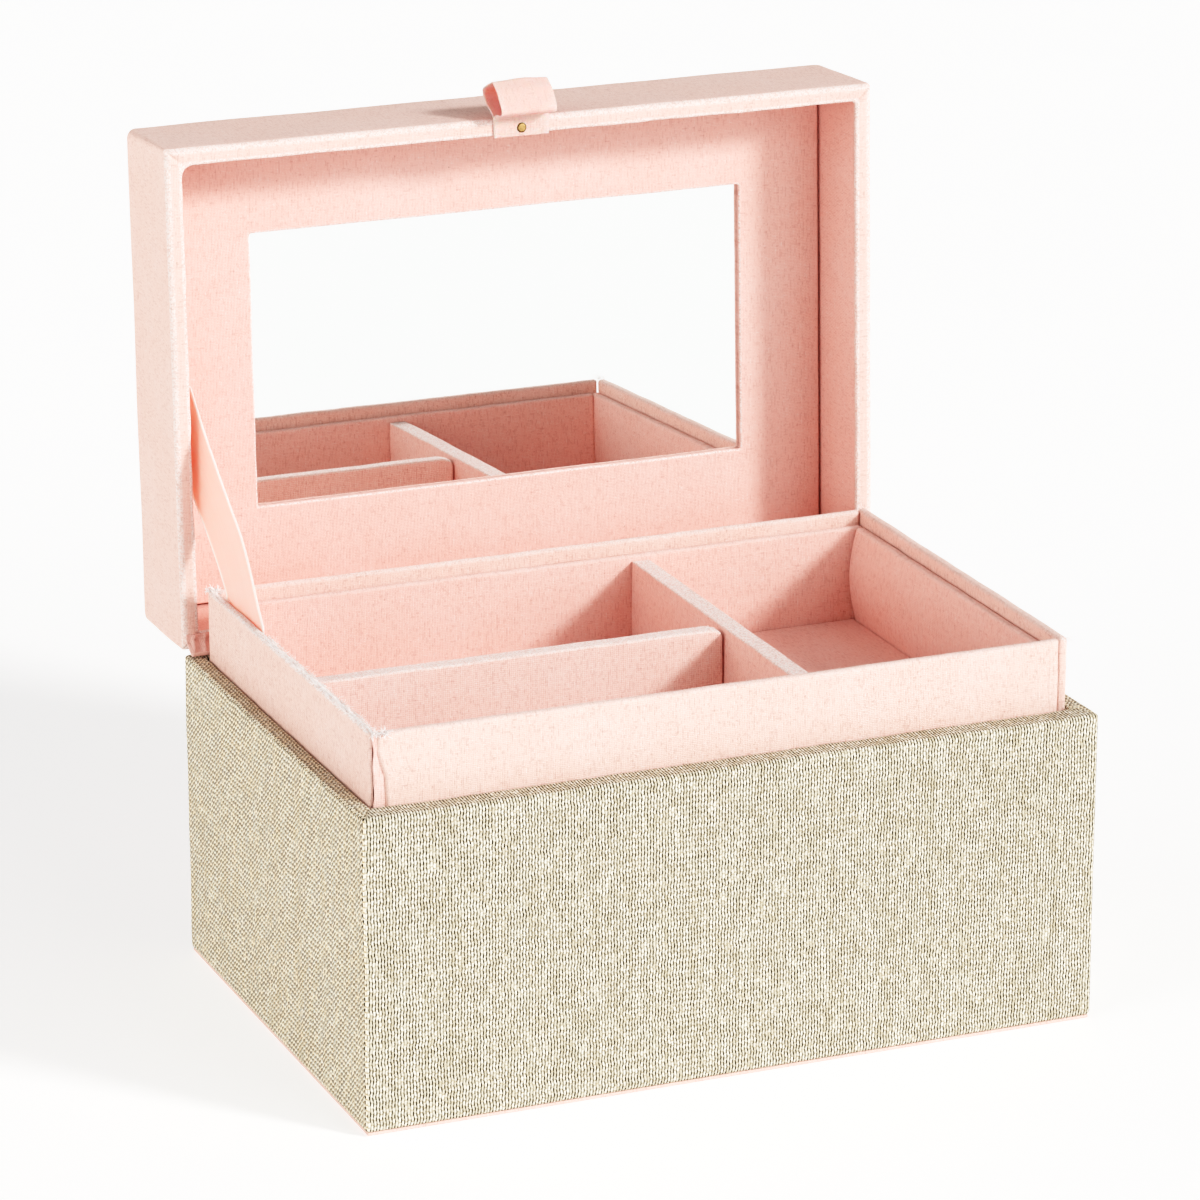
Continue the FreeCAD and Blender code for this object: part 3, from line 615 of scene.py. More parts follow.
def lofted(profile, rect, fx, fy, nc=8, closed=False, caps=False, place_at=None, plan=(), wear=None):
    """Cloth round a rectangle. profile is a list of (inset, height, corner
    radius, extra front inset); plan says which profile steps lie flat."""
    S = Shape()
    x0, x1, y0, y1 = rect
    rows, length = [], [0.0]
    for k, (d, h, r, e) in enumerate(profile):
        pts = ring(x0 + d, x1 - d, y0 + d + e, y1 - d, r, fx, fy, nc)
        row = []
        for i, (x, y, side) in enumerate(pts):
            q = place_at(x, y, h, k, side) if place_at else (x, y, h)
            row.append((S.add(q, wear(k, x, y, h) if wear else 0.0), x, y, side))
        rows.append(row)
        if k:
            a, b = profile[k - 1], profile[k]
            length.append(length[-1] + math.hypot(b[0] - a[0] + (b[3] - a[3]) * 0.3, b[1] - a[1]))
    n = len(rows[0])
    steps = [(k, k + 1) for k in range(len(rows) - 1)]
    if closed:
        steps.append((len(rows) - 1, 0))
    for a, b in steps:
        for i in range(n):
            j = (i + 1) % n
            quad = [(rows[a][i], a), (rows[a][j], a), (rows[b][j], b), (rows[b][i], b)]
            side = rows[a][i][3]
            uvs = []
            for (q, x, y, _), k in quad:
                if a in plan and b in plan:
                    uvs.append((x, y + 40.0))
                elif side in "FB":
                    uvs.append((x, length[k]))
                else:
                    uvs.append((y + 300.0, length[k]))
            # left and right faces take the second material: for the canvas, its paler painted-light copy
            S.face([q[0][0] for q in quad], uvs, 1 if side in "LR" else 0)
    if caps:
        for row in (rows[0], rows[-1]):
            S.face([q[0] for q in row], [(q[1], q[2] + 40.0) for q in row])
    return S


def arc(cx, cz, r, a0, a1, n):
    return [
        (cx + r * math.cos(math.radians(a0 + (a1 - a0) * i / n)), cz + r * math.sin(math.radians(a0 + (a1 - a0) * i / n)))
        for i in range(n + 1)
    ]


# ------------------------------------------------------------ base: canvas cover
NEAR = (0.5, 1.1, 1.9, 2.9, 4.2, 6.0, 8.5, 12.0)
FX, FY = spread(236.0, NEAR), spread(158.0, NEAR)
path = [(12.0, 1.02), (6.0, 1.02), (2.6, 1.02)]
path += [(1.4 + x, 2.4 + z) for x, z in arc(0, 0, 1.4, 270, 180, 5)]
path += [(0.0, 2.4 + 95.2 * i / 16) for i in range(1, 17)]
path += [(0.0, 98.5)]
path += [(1.1 + x, 98.88 + z) for x, z in arc(0, 0, 1.1, 175, 90, 6)]
path += [(2.0, 99.99), (3.0, 99.99), (3.7, 99.98)]
path += [(4.45 + x, 98.5 + z) for x, z in arc(0, 0, 1.45, 90, 5, 5)]
path += [(5.9, 97.4), (5.9, 94.0), (5.9, 88.2)]
outer = []
for d, z in path:
    extra = 3.0 * smooth(1.6, 5.0, d) if z > 80 else 0.0
    outer.append((d, z, max(1.25 - d, 0.40), extra))
inner = [(d, z, r, e) for d, z, r, e in shift(outer, -0.62)]
canvas_profile = outer + list(reversed(inner))
N_OUT = len(outer)


def canvas_at(x, y, z, k, side):
    q = Vector((x, y, z))
    if z > 3.0:
        q += wobble(q, 26.0, 0.22, 3.0)
    if z > 96.0 and k < N_OUT:
        a = x if side in "FB" else y
        q.z += 0.16 * wave(a, 1.9, 5.0) * smooth(97.0, 99.5, z)
        q += wobble(q, 5.0, 0.12, 6.0)
    return q


cover = lofted(canvas_profile, (-120.0, 120.0, -81.0, 81.0), FX, FY, 8, closed=True, place_at=canvas_at)
# the left and right sides take the painted-light copy of the canvas
cover = place(cover.make("canvas_cover", CANVAS, second=CANVAS_SIDE_PAINTED_LIGHT), "base", "canvas", "base_cover_cloth")

sheet = rounded((-119.5, -80.5, 0.0), (119.5, 80.5, 1.0), 0.42, 9.0, thin=2, up_axis=None, amp=0.05, grain=14.0, seed=4.0)
sheet = place(sheet.make("underside_sheet", COTTON), "base", "pink_cotton", "bottom_sheet")


# ------------------------------------------------------------------- base: neck
def neck_left_bend(x, y, z):
    # its front end thins to a single edge of cloth beside the pocket at the corner
    end = smooth(-66.0, -68.6, y)
    if x > -112.5:
        x -= 1.7 * end * smooth(-112.5, -111.2, x)
    x += 0.22 * wave(z, 7.0, 2.0) * end
    z += 0.22 * wave(y, 9.0, 3.0) * smooth(118, 122, z)
    return x, y, z


def neck_fold_bend(x, y, z):
    left = smooth(-110.6, -112.6, x)
    x += left * 0.55 * wave(z, 6.0, 12.0)
    y -= left * 0.35 * wave(z, 4.0, 13.0)
    return x, y, z


def neck_right_bend(x, y, z):
    z += 0.20 * wave(y, 11.0, 8.0) * smooth(118, 122, z)
    if y < -64:
        y += 0.35 * smooth(-64, -72, y)
    return x, y, z


def neck_front_bend(x, y, z):
    # drawn away from the left corner lower down, and wavy at both ends
    left = smooth(-98.0, -111.7, x)
    right = smooth(106.0, 110.9, x)
    x += left * (2.5 * smooth(117.0, 108.0, z) + 0.35 * wave(z, 3.6, 4.0)) - right * (0.2 + 0.75 * abs(wave(z, 4.2, 9.0)))
    y -= 0.30 * smooth(-104.0, -109.0, x) * smooth(118.0, 112.0, z)
    y += 0.3 * right ** 3
    z += 0.18 * wave(x, 10.0, 5.0) * smooth(118, 122, z)
    y -= 0.18 * wave(x, 34.0, 6.0) * smooth(102, 118, z)
    return x, y, z


def neck_back_bend(x, y, z):
    z += 0.22 * wave(x, 12.0, 7.0) * smooth(118, 122, z)
    return x, y, z


for name, lo, hi, bend, wear in (
    ("neck_left", (-113.85, -70.2, 5.75), (-111.0, 74.8, NECK_TOP), neck_left_bend, 1.0),
    ("neck_right", (111.0, -70.6, 5.75), (114.15, 74.8, NECK_TOP), neck_right_bend, 0.3),
    ("neck_front", (-111.7, -72.0, 5.75), (110.9, -69.2, NECK_TOP), neck_front_bend, 0.3),
    ("neck_back", (-110.8, 72.0, 5.75), (110.8, 74.7, NECK_TOP), neck_back_bend, 0.5),
):
    S = rounded(lo, hi, 1.15, 4.0, wear_top=wear, bend=bend, amp=0.13, grain=12.0, seed=len(name))
    place(S.make(name + "_cloth", NECK), "base", "pink_panel", name + "_panel")

S = rounded((-112.75, -71.2, 84.6), (-105.5, -70.65, 121.8), 0.25, 1.2, bend=neck_fold_bend, amp=0.12, grain=4.0, seed=2.0)
place(S.make("neck_corner_fold_cloth", TRAY), "base", "pink_panel")

for name, lo, hi in (
    ("tray_ledge_left", (-111.0, -69.0, 5.75), (-108.5, 72.0, 84.45)),
    ("tray_ledge_right", (108.5, -69.0, 5.75), (111.0, 72.0, 84.45)),
    ("tray_ledge_front", (-108.5, -69.0, 5.75), (108.5, -66.5, 84.45)),
    ("tray_ledge_back", (-108.5, 69.5, 5.75), (108.5, 72.0, 84.45)),
):
    S = rounded(lo, hi, 0.9, 7.0, wear_top=0.5, amp=0.06, grain=15.0, seed=len(name) + 3)
    place(S.make(name + "_cloth", PANEL), "base", "pink_panel", name)


def pad_bend(x, y, z):
    k = (1 - (x / 108.5) ** 4) * (1 - ((y - 1.5) / 68.0) ** 4)
    if z > 6.6:
        z += 0.9 * max(0.0, k) + 0.25 * wave(x, 30.0, 3.0) * wave(y, 30.0, 4.0)
    return x, y, z


S = rounded((-108.3, -66.3, 5.75), (108.3, 69.3, 7.75), 0.9, 6.0, thin=2, up_axis=None, bend=pad_bend, amp=0.05, seed=9.0)
pad = place(S.make("floor_pad_cloth", PANEL), "base", "pink_panel", "floor_pad")


# ------------------------------------------------------------------------- tray
def right_wall_bend(x, y, z):
    k = smooth(-40.0, 64.0, y)
    rise = max(0.0, min(1.0, (z - 86.9) / 31.3))
    x -= (0.3 + 2.3 * k) * math.sin(math.pi * rise) ** 0.9
    z += 0.2 * wave(y, 10.0, 12.0) * smooth(114, 118, z)
    return x, y, z


def left_wall_bend(x, y, z):
    rise = max(0.0, min(1.0, (z - 86.9) / 31.3))
    x += 0.6 * math.sin(math.pi * rise) * (1 - (y / 80.0) ** 2)
    z += 0.2 * wave(y, 10.0, 14.0) * smooth(114, 118, z)
    return x, y, z


def back_wall_bend(x, y, z):
    rise = max(0.0, min(1.0, (z - 86.9) / 31.3))
    y -= 0.35 * math.sin(math.pi * rise) * (1 - (x / 125.0) ** 2)
    z += 0.2 * wave(x, 12.0, 16.0) * smooth(114, 118, z)
    return x, y, z


def front_wall_bend(x, y, z):
    z += 0.2 * wave(x, 12.0, 18.0) * smooth(114, 118, z)
    return x, y, z


def cross_bend(x, y, z):
    rise = max(0.0, min(1.0, (z - 86.9) / 29.5))
    x += 0.25 * math.sin(math.pi * rise) * (1 if x > 31 else -1)
    z += 0.16 * wave(y, 11.0, 20.0) * smooth(112, 116, z)
    x += 0.2 * wave(y, 24.0, 21.0)
    return x, y, z


def long_bend(x, y, z):
    end = smooth(23.0, 27.6, x)
    drop = max(0.0, 1 - math.hypot(max(0.0, 27.6 - x) / 3.6, 0))
    z -= 3.4 * (1 - math.sqrt(max(0.0, 1 - drop * drop))) * smooth(104, 116, z)
    x += 0.12 * end * wave(z, 8.0, 22.0)
    z += 0.16 * wave(x, 11.0, 23.0) * smooth(112, 116, z)
    y += 0.18 * wave(x, 26.0, 24.0)
    return x, y, z


for name, lo, hi, r, bend, wear, cell in (
    ("tray_floor", (-107.55, -65.55, 84.5), (107.3, 68.5, 86.9), 0.55, None, 0.0, 6.0),
    ("tray_left_wall", (-110.5, -68.3, 84.5), (-107.8, 71.2, TRAY_TOP), 0.95, left_wall_bend, 0.2, 5.0),
    ("tray_right_wall", (107.8, -68.3, 84.5), (110.65, 68.45, TRAY_TOP), 0.95, right_wall_bend, 0.1, 3.5),
    ("tray_front_wall", (-107.8, -68.3, 84.5), (107.8, -65.8, TRAY_TOP), 0.95, front_wall_bend, 0.2, 5.0),
    ("tray_back_wall", (-107.8, 68.8, 84.5), (110.4, 71.6, TRAY_TOP), 0.95, back_wall_bend, 0.2, 5.0),
    ("cross_divider", (28.2, -65.6, 86.9), (34.4, 68.5, 116.4), 0.5, cross_bend, 0.8, 4.0),
    ("long_divider", (-107.6, -5.8, 86.9), (27.55, -0.2, 116.4), 0.8, long_bend, 0.7, 3.0),
):
    flat = name == "tray_floor"
    S = rounded(
        lo, hi, r, cell, thin=2 if flat else None, up_axis=None if flat else 2,
        wear_top=wear, bend=bend, amp=0.09, grain=9.0, seed=len(name) + 0.5,
    )
    # the long divider takes the paler, painted-light copy of the pink cloth
    place(S.make(name + "_cloth", PANEL if flat else DIVIDER_PAINTED_LIGHT if name == "long_divider" else TRAY), "tray", "pink_panel", name)


# ------------------------------------------------------------------- lid: cover
LFX, LFY = spread(236.0, NEAR), spread(156.0, NEAR)
top = [(79.2, 43.75), (70.0, 43.72), (56.0, 43.6), (42.0, 43.42), (28.0, 43.2), (18.0, 42.97), (11.0, 42.76), (7.2, 42.6)]
path = top + [(5.0 + x, 37.5 + z) for x, z in arc(0, 0, 5.0, 90, 180, 8)]
path += [(0.0, 37.5 - 34.7 * i / 9) for i in range(1, 10)]
path += [(1.7 + x, 2.4 + z) for x, z in arc(0, 0, 1.7, 186, 268, 8)]
path += [(2.2, 0.69), (2.9, 0.68), (3.6, 0.69), (4.2, 0.71), (4.7, 0.77)]
path += [(4.85 + x, 1.58 + z) for x, z in arc(0, 0, 0.80, 280, 365, 6)]
path += [(5.56, 2.2), (5.35, 2.9), (5.08, 3.5), (4.95, 4.2)]


def lid_corner(d, t):
    """Corner radii of the lid's cloth, hinge side first: sharp at the rim, rounder
    where it is padded, and loosest inside the rim's left front corner."""
    k = smooth(1.0, 5.4, d)
    if t < 5:
        return (0.9, 1.2 + 0.2 * k, 1.2 + 2.6 * k, 0.9)
    if t < 36.6:
        front, back = 1.2 + smooth(4.0, 34.0, t), 0.9 + 0.8 * smooth(18.0, 36.5, t)
    else:
        k = smooth(36.5, 41.0, t)
        front, back = 2.2 + 1.5 * k, 1.7 + 2.0 * k
    most = max(0.6, (80.2 - d) * 0.8)
    front, back = min(front, most), min(back, most)
    return (back, front, front, back)


outer = [(d, t, lid_corner(d, t), 0.0) for d, t in path]
N_TOP = len(top)
inner = shift(outer, 0.5)
lid_profile = outer + list(reversed(inner))
N_LID = len(outer)


def lid_cover_at(x, s, t, k, side):
    q = Vector((x, s, t))
    if k < N_LID:
        q += wobble(q, 24.0, 0.28 if t > 6 else 0.10, 31.0)
        ax, as_ = 120.2 - abs(x), min(s - 0.3, 161.0 - s)
        if t < 3.0:
            # the rim: gathered at its corners, ragged along its inner edge
            reach = math.hypot(ax, as_)
            near = smooth(13.0, 4.0, reach)
            phi = math.atan2(as_, ax)
            q.z -= 0.42 * near * abs(math.sin(4.5 * phi)) * smooth(0.2, 1.6, min(ax, as_))
            q.z += 0.55 * near * math.exp(-((ax - as_) / 0.55) ** 2) * smooth(0.1, 0.8, min(ax, as_))
            a = x if side in "FB" else s
            edge = smooth(4.4, 5.7, min(ax, as_))
            toward = Vector((-math.copysign(1.0, x), 0, 0)) if ax < as_ else Vector((0, 1.0 if s < 80 else -1.0, 0))
            q += toward * edge * (0.16 * wave(a, 1.6, 33.0) + 0.20 * wave(a, 9.0, 34.0))
            q.z += 0.08 * wave(a, 2.2, 35.0)
    return q


def lid_wear(k, x, s, t):
    ax, as_ = 120.2 - abs(x), min(s - 0.3, 161.0 - s)
    if t < 2.0 and 0.15 < min(ax, as_) < 1.8:
        return 0.6
    if t < 2.4 and min(ax, as_) > 4.6:
        return 0.7
    return 0.0


cover = lofted(
    lid_profile, (-120.2, 120.2, 0.3, 161.0), LFX, LFY, 8, caps=True, place_at=lid_cover_at,
    plan=set(range(N_TOP + 1)) | set(range(len(lid_profile) - N_TOP - 1, len(lid_profile))), wear=lid_wear,
)
cover = place(cover.make("lid_cover", COTTON, lid=True), "lid", "pink_cotton", "lid_cover_cloth")

path = [(79.0, 39.4), (40.0, 39.4), (6.0, 39.4), (2.2, 39.35), (1.62, 38.4), (1.6, 36.7), (1.2, 36.45), (0.85, 36.9), (0.75, 37.6)]
path += [(5.0 + x, 37.5 + z) for x, z in arc(0, 0, 4.25, 180, 95, 6)]
path += [(10.0, 42.1), (24.0, 42.5), (44.0, 42.8), (62.0, 42.95), (79.0, 43.0)]
pad = lofted([(d, t, lid_corner(d, max(t, 36.7)), 0.0) for d, t in path], (-120.2, 120.2, 0.3, 161.0), LFX, LFY, 6, caps=True)
pad = place(pad.make("lid_wadding_pad", WADDING, lid=True), "lid", "wadding", "lid_wadding")

# ------------------------------------------------------------- lid: linings, frame
for name, lo, hi in (
    ("lid_lining_left", (-116.0, 4.5, 1.75), (-115.2, 156.8, 36.3)),
    ("lid_lining_right", (115.2, 4.5, 1.75), (116.0, 156.8, 36.3)),
    ("lid_lining_front", (-115.2, 156.0, 1.75), (115.2, 156.8, 36.3)),
    ("lid_lining_back", (-115.2, 4.5, 1.75), (115.2, 5.3, 36.3)),
):
    S = rounded(lo, hi, 0.36, 5.0, up_axis=2, amp=0.07, grain=13.0, seed=len(name) + 0.7)
    place(S.make(name + "_cloth", PANEL, lid=True), "lid", "pink_panel", name)

# the frame round the mirror: cloth drawn over card and turned in at the window
WIN = (-83.7, 85.7, 36.0, 125.5)
OUT = (-114.35, 114.35, 6.1, 155.2)
rows = [(0.0, 31.68, 0.0), (0.0, 30.2, 0.0), (0.0, 29.95, 0.1), (0.0, 29.68, 0.3), (0.0, 29.54, 0.7), (0.0, 29.5, 1.2)]
rows += [(f, 29.5, 0.0) for f in (0.08, 0.17, 0.27, 0.38, 0.5, 0.62, 0.73, 0.83, 0.92)]
rows += [(1.0, 29.5, -1.3), (1.0, 29.5, -0.7), (1.0, 29.55, -0.36), (1.0, 29.68, -0.12), (1.0, 29.86, -0.03), (1.0, 30.3, 0.0), (1.0, 31.68, 0.0)]
FFX, FFY = spread(190.0, NEAR), spread(110.0, NEAR)
S = Shape()
made = []
for k, (f, t, inset) in enumerate(rows):
    box = [a + (b - a) * f for a, b in zip(OUT, WIN)]
    r = 0.5 + 0.35 * f
    pts = ring(box[0] + inset, box[1] - inset, box[2] + inset, box[3] - inset, r, FFX, FFY, 6)
    row = []
    for x, s, side in pts:
        q = Vector((x, s, t))
        if t < 31:
            q += Vector((0, 0, -0.35 * math.sin(math.pi * min(1, max(0, f))) * (1 if 0 < f < 1 else 0)))
            q += wobble(q, 22.0, 0.14, 41.0)
        if f == 1.0:
            a = x if side in "FB" else s
            q += Vector((0.10 * wave(s, 3.0, 43.0), 0.10 * wave(x, 3.0, 44.0), 0))
        row.append((S.add(q, 0.8 if f == 1.0 and inset > -0.5 and t < 30.0 else 0.0), x, s))
    made.append(row)
n = len(made[0])
for k in range(len(made)):
    a, b = made[k], made[(k + 1) % len(made)]
    for i in range(n):
        j = (i + 1) % n
        S.face([a[i][0], a[j][0], b[j][0], b[i][0]], [(q[1], q[2]) for q in (a[i], a[j], b[j], b[i])])
place(S.make("mirror_frame_cloth", PANEL, lid=True), "lid", "pink_panel", "mirror_frame_panel")


# -------------------------------------------------------------------- lid: pull tab
LOOP = [
    (161.1, 0.075), (162.1, -0.6), (162.65, -2.4), (162.8, -4.6), (163.4, -6.5), (164.8, -7.0), (167.2, -5.6),
    (170.3, -3.2), (171.9, -0.8), (172.75, 1.2), (171.2, 5.2), (169.4, 9.0), (167.9, 9.1), (166.4, 8.1),
    (164.4, 5.4), (162.9, 2.9), (161.8, 1.0), (161.25, 0.525),
]


def through(points, n):
    """A smooth line through points, n steps to each span."""
    out = []
    for i in range(len(points) - 1):
        p = [Vector(points[min(max(i + k, 0), len(points) - 1)]) for k in (-1, 0, 1, 2)]
        for j in range(n):
            t = j / n
            out.append(
                0.5 * (2 * p[1] + (p[2] - p[0]) * t + (2 * p[0] - 5 * p[1] + 4 * p[2] - p[3]) * t * t
                       + (3 * p[1] - p[0] - 3 * p[2] + p[3]) * t ** 3)
            )
    out.append(Vector(points[-1]))
    return out


line = [(154.95, 0.075), (156.0, 0.075), (158.0, 0.075), (160.0, 0.075)] + LOOP + [(160.0, 0.525), (158.0, 0.525), (156.0, 0.525), (154.95, 0.525)]
line = through(line, 4)
TAB_X, TAB_HALF = -2.1, 9.3
S = Shape()
section = [(-1.0, 0.0), (-0.985, 0.7), (-0.95, 1.0)] + [(f, 1.0) for f in (-0.8, -0.6, -0.4, -0.2, 0.0, 0.2, 0.4, 0.6, 0.8)] + [(0.95, 1.0), (0.985, 0.7), (1.0, 0.0)]
section = section + [(f, -g) for f, g in reversed(section[1:-1])]
rows, run = [], 0.0
for k, p in enumerate(line):
    a, b = line[max(0, k - 1)], line[min(len(line) - 1, k + 1)]
    d = (b - a).normalized()
    nrm = Vector((-d.y, d.x))
    if k:
        run += (p - line[k - 1]).length
    row = []
    free = smooth(161.0, 165.0, p.x)
    for f, g in section:
        x = TAB_X + TAB_HALF * f + 0.12 * wave(run, 5.0, 51.0 + (1 if f > 0 else 0)) * abs(f)
        thick = 0.215 * g
        roll = free * 0.22 * math.sin(f * 2.4 + run * 0.16) + free * 0.18 * wave(f * 3 + run * 0.1, 1.2, 53.0)
        q = p + nrm * (thick + roll)
        row.append((S.add((x, q.x, q.y), 0.25 if abs(f) > 0.94 else 0.0), f * TAB_HALF + (20.0 if g < 0 else 0.0), run))
    rows.append(row)
n = len(section)
for a, b in zip(rows, rows[1:]):
    for i in range(n):
        j = (i + 1) % n
        # faces on the loop's inner side and its left edge take the second material, the painted-shade copy of the tab
        # cloth
        S.face([a[i][0], a[j][0], b[j][0], b[i][0]], [(q[1], q[2]) for q in (a[i], a[j], b[j], b[i])], int(section[i][1] == 1.0 == section[j][1] or max(section[i][0], section[j][0]) < -0.98))
for row in (rows[0], rows[-1]):
    S.face([q[0] for q in row], [(q[1], q[2]) for q in row])
tab = place(S.make("pull_tab_loop", TAB, lid=True, second=TAB_PAINTED_SHADE), "lid", "pink_cotton", "pull_tab")

# brass nail: domed head and a short shank into the board
S = Shape()
outline = [(0.0, -0.34), (0.45, -0.335), (0.9, -0.315), (1.08, -0.295), (1.2, -0.26), (1.28, -0.235), (1.38, -0.24), (1.47, -0.215), (1.55, -0.14), (1.6, -0.03), (1.5, 0.06), (0.66, 0.07), (0.6, 0.3), (0.6, 6.6), (0.45, 7.6), (0.0, 8.1)]
N = 32
rows = []
for r, h in outline:
    count = 1 if r == 0 else N
    rows.append([
        (S.add((TAB_X + r * math.cos(2 * math.pi * i / N), 157.6 + r * math.sin(2 * math.pi * i / N), -0.15 + h)), i, h) for i in range(count)
    ])
for a, b in zip(rows, rows[1:]):
    for i in range(N):
        j = (i + 1) % N
        quad = [a[i % len(a)], a[j % len(a)], b[j % len(b)], b[i % len(b)]]
        ids = []
        for q in quad:
            if q[0] not in [x[0] for x in ids]:
                ids.append(q)
        S.face([q[0] for q in ids], [(q[1] * 0.3, q[2]) for q in ids], int(rows.index(a) > 3))
place(S.make("brass_nail", BRASS, lid=True, second=BRASS_RIM), "lid", "brass", "tab_nail")


# ---------------------------------------------------------------- ribbon and hinge
lid_end = lid_point(0, 80.0, 19.5)
foot = Vector((-110.95, 50.0, NECK_TOP))
tip = Vector((-115.2, lid_end[1], lid_end[2]))
way = Vector((0, tip.y - foot.y, tip.z - foot.z)).normalized()
across = Vector((0, way.z, -way.y))
half = across * 11.0
up_a = foot + half - way * (half.z / way.z)
up_b = foot - half + way * (half.z / way.z)
low_a, low_b = Vector((foot.x, up_a.y, 108.6)), Vector((foot.x, up_b.y, 108.6))
mid_a, mid_b = Vector((foot.x, up_a.y, NECK_TOP + 1.2)), Vector((foot.x, up_b.y, NECK_TOP + 1.2))
end_a, end_b = tip + half, tip - half
glue_a, glue_b = end_a + way * 8.8, end_b + way * 8.8

S = Shape()
rows = []
M = 72
CROSS = [-1.0, -0.97, -0.9, -0.75, -0.55, -0.3, 0.0, 0.3, 0.55, 0.75, 0.9, 0.97, 1.0]
centre_len, last = 0.0, None
for k in range(M + 1):
    f = k / M
    if f < 0.14:
        g = f / 0.14
        a, b, free = low_a.lerp(mid_a, g), low_b.lerp(mid_b, g), 0.0
    elif f < 0.92:
        g = (f - 0.14) / 0.78
        a, b, free = mid_a.lerp(end_a, g), mid_b.lerp(end_b, g), math.sin(math.pi * g)
        e = smooth(0.0, 1.0, g)
        a.x = b.x = foot.x + (tip.x - foot.x) * e
    else:
        g = (f - 0.92) / 0.08
        a, b, free = end_a.lerp(glue_a, g), end_b.lerp(glue_b, g), 0.0
    mid = (a + b) / 2
    if last is not None:
        centre_len += (mid - last).length
    last = mid
    front, back = [], []
    for c in CROSS:
        p = b.lerp(a, (c + 1) / 2)
        p.y -= 5.0 * ((1 - c) / 2) ** 1.2 * smooth(0.55, 0.12, f)
        # the free run curls a little across its width and bows along it
        bow = free * 0.7 * (1 - c * c) + 0.04 * free * wave(c * 6 + k * 0.4, 2.0, 61.0)
        bow += 3.0 * ((1 - c) / 2) ** 1.4 * smooth(0.14, 0.45, f) * smooth(0.925, 0.87, f)
        p = p + Vector((bow, 0, 0))
        front.append((S.add(p + Vector((0.02, 0, 0))), c * 11.0, centre_len))
        back.append((S.add(p + Vector((0.31, 0, 0))), c * 11.0, centre_len))
    rows.append(front + list(reversed(back)))
n = len(rows[0])
for a, b in zip(rows, rows[1:]):
    for i in range(n):
        j = (i + 1) % n
        S.face([a[i][0], a[j][0], b[j][0], b[i][0]], [(q[1], q[2]) for q in (a[i], a[j], b[j], b[i])])
for row in (rows[0], rows[-1]):
    S.face([q[0] for q in row], [(q[1], q[2]) for q in row])
ribbon = S.make("ribbon_band", RIBBON)
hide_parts("ribbon_stay")
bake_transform(ribbon)


def band(path, x0, x1, thick, name, pleat, mat):
    """A cloth strip along the hinge: path holds (y, z) points, x0 to x1 across."""
    S = Shape()
    close = [0.45 * i for i in range(46)]
    count = round((x1 - x0 - 2 * close[-1]) / 4.0)
    across_stops = [x0 + c for c in close] + [x0 + close[-1] + (x1 - x0 - 2 * close[-1]) * i / count for i in range(1, count)] + [x1 - c for c in reversed(close)]
    pts = through(path, 3)
    rows, run = [], 0.0
    for k, p in enumerate(pts):
        a, b = pts[max(0, k - 1)], pts[min(len(pts) - 1, k + 1)]
        d = (b - a).normalized()
        nrm = Vector((-d.y, d.x))
        if k:
            run += (p - pts[k - 1]).length
        front, back = [], []
        for x in across_stops:
            lift = pleat(x, run)
            q = p + nrm * lift
            front.append((S.add((x, q.x, q.y)), x, run))
            q = p + nrm * (lift + thick)
            back.append((S.add((x, q.x, q.y)), x, run))
        rows.append(front + list(reversed(back)))
    n = len(rows[0])
    for a, b in zip(rows, rows[1:]):
        for i in range(n):
            j = (i + 1) % n
            S.face([a[i][0], a[j][0], b[j][0], b[i][0]], [(q[1], q[2]) for q in (a[i], a[j], b[j], b[i])])
    for row in (rows[0], rows[-1]):
        S.face([q[0] for q in row], [(q[1], q[2]) for q in row])
    o = S.make(name, mat)
    return o, run


def outer_pleat(x, run):
    return 0.06 * wave(x, 9.0, 71.0)


b0 = lid_point(0, 0.05, 14.8)
b1 = lid_point(0, 0.05, 8.0)
b2 = lid_point(0, 0.05, 2.4)
b3 = lid_point(0, -0.05, 0.9)
hinge_out, length = band(
    [(81.05, 86.0), (81.05, 90.0), (81.05, 94.0), (81.05, 97.6), (81.1, 99.4), (81.32, 100.35), (b3[1], b3[2]), (b2[1], b2[2]), (b1[1], b1[2]), (b0[1], b0[2])],
    -115.8, 115.8, -0.42, "hinge_strip_outer", outer_pleat, COTTON,
)
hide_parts("hinge_cloth_outer")
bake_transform(hinge_out)


def inner_pleat(x, run):
    near = smooth(20.0, 5.0, 119.0 - abs(x))
    mid = smooth(1.8, 3.8, run) * smooth(11.2, 8.8, run)
    fold = abs(math.sin(x * 0.85 + 0.6 * wave(x, 5.0, 74.0) + math.copysign(0.16, x) * run))
    return mid * (near * 0.95 * (1.0 - fold ** 0.7) + 0.12 * wave(x, 6.0, 73.0))


p0, r0, r1 = lid_point(0, 3.6, 0.5), lid_point(0, 4.8, 0.55), lid_point(0, 5.5, 0.6)
hinge_in, length = band(
    [(75.2, 102.2), (75.25, 101.3), (75.7, 100.75), (76.7, 100.95), (77.8, 101.6), (79.0, 102.4), (80.2, 103.2), (p0[1] - 0.15, p0[2]), (r0[1], r0[2]), (r1[1], r1[2])],
    -119.0, 119.0, 0.3, "hinge_strip_inner", inner_pleat, PANEL,
)
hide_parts("hinge_cloth_inner")
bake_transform(hinge_in)


